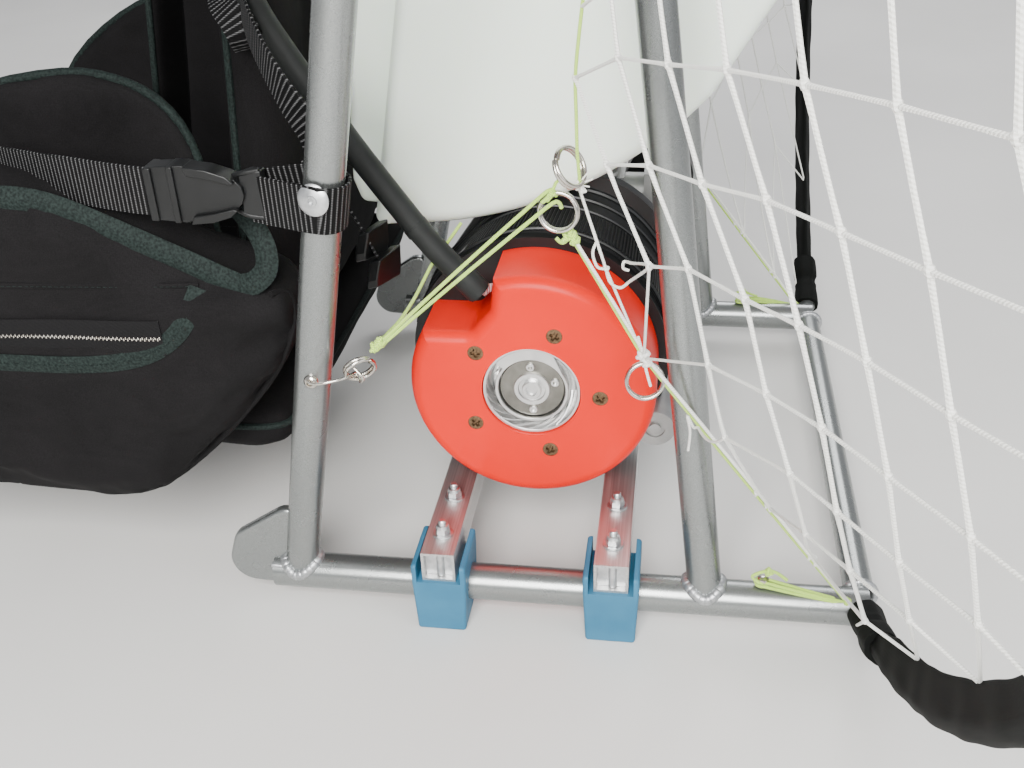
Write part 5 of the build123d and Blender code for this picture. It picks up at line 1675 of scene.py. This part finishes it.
def make_sleeves():
    """Loose cloth sleeves on the ring, with a lip towards the net, gathered cuffs and fine creases."""
    for part, (first, last) in (("lower", (154.5, 78)), ("upper", (76.5, 1.0))):
        shape = Shape()
        steps = 150
        rings = []
        for k in range(steps + 1):
            angle = math.radians(first + (last - first) * k / steps)
            from_end = min(k, steps - k) / steps * abs(first - last)
            swell = min(1.0, from_end / 5 + 0.15)
            radial = Vector((math.sin(angle), 0, math.cos(angle)))
            wide = (7.6 + 0.8 * swell) * MM
            lip = 12 * swell * MM
            ring = []
            centre = ring_point(angle)
            for n in range(28):
                turn = math.tau * n / 28
                c, s = math.cos(turn), math.sin(turn)
                reach = wide * (1 + 0.10 * swell * noise.noise(Vector((k * 0.16, c * 1.7, s * 1.7 + 5))))
                reach += 0.35 * MM * swell * math.sin(k * 0.8 + 4 * s + 3 * noise.noise(Vector((k * 0.1, 0, 7))))
                gather = 0.8 * MM * (1 - swell) * math.sin(turn * 9)
                inward = max(0.0, -c) ** 5 * lip
                ring.append(centre + radial * (c * (reach + gather) - inward) + Vector((0, s * (reach + gather), 0)))
            rings.append(ring)
        shape.skin(rings)
        both_sides("sleeve_" + part, shape, MATERIALS["sleeve"], crease=80, levels=1)
    for part in ("lower", "upper"):
        for name in ("left", "right"):
            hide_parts(f"ring_{part}_{name}")
    core = Shape()
    core.tube([ring_point(math.radians(-158 + 2 * k)) for k in range(159)], 6.0, sides=14)
    piece("ring_core", core, MATERIALS["frame"], crease=40)
    cuff = Shape()
    rings = []
    for k in range(15):
        angle = math.radians(159.2 - 0.38 * k)
        radial = Vector((math.sin(angle), 0, math.cos(angle)))
        flare = 11.0 + 1.4 * abs(math.cos(k * 0.3)) - (1.6 if 7 <= k <= 8 else 0)
        ring = []
        for n in range(40):
            turn = math.tau * n / 40
            reach = (flare + 0.35 * math.sin(turn * 7 + k * 0.2)) * MM
            ring.append(ring_point(angle) + radial * math.cos(turn) * reach + Vector((0, math.sin(turn) * reach, 0)))
        rings.append(ring)
    cuff.skin(rings)
    both_sides("sleeve_cuff", cuff, MATERIALS["sleeve"], crease=80)


make_camera()
make_stage()
MATERIALS = paint_nodes()
MATERIALS.update(
    twine=material_twine(),
    green_cord=MATERIALS["stay_cord"],
    binding=material_binding(),
    zip_tape=material_zip_tape(),
    zip_metal=material_nickel(),
    thread=material_thread(),
    bronze=material_bronze(),
    hub_disc=material_hub_disc(),
    starter_rope=material_starter_rope(),
    nickel=material_nickel(),
    zinc=material_zinc(),
    weld=material_weld(),
)
make_net("net_left", 1, 1.15)
make_net("net_right", -1, 0.95)
make_rigging()
make_welds()
make_bar_bolts()
make_starter()
make_shroud_details()
make_hose_fittings()
make_toe_details()
make_straps()
make_loose_straps()
make_shoulder_straps()
make_sleeves()
make_side_bags()
make_seat()
make_wings()
swell_pads()
dress_side_bags()
dress_pads()
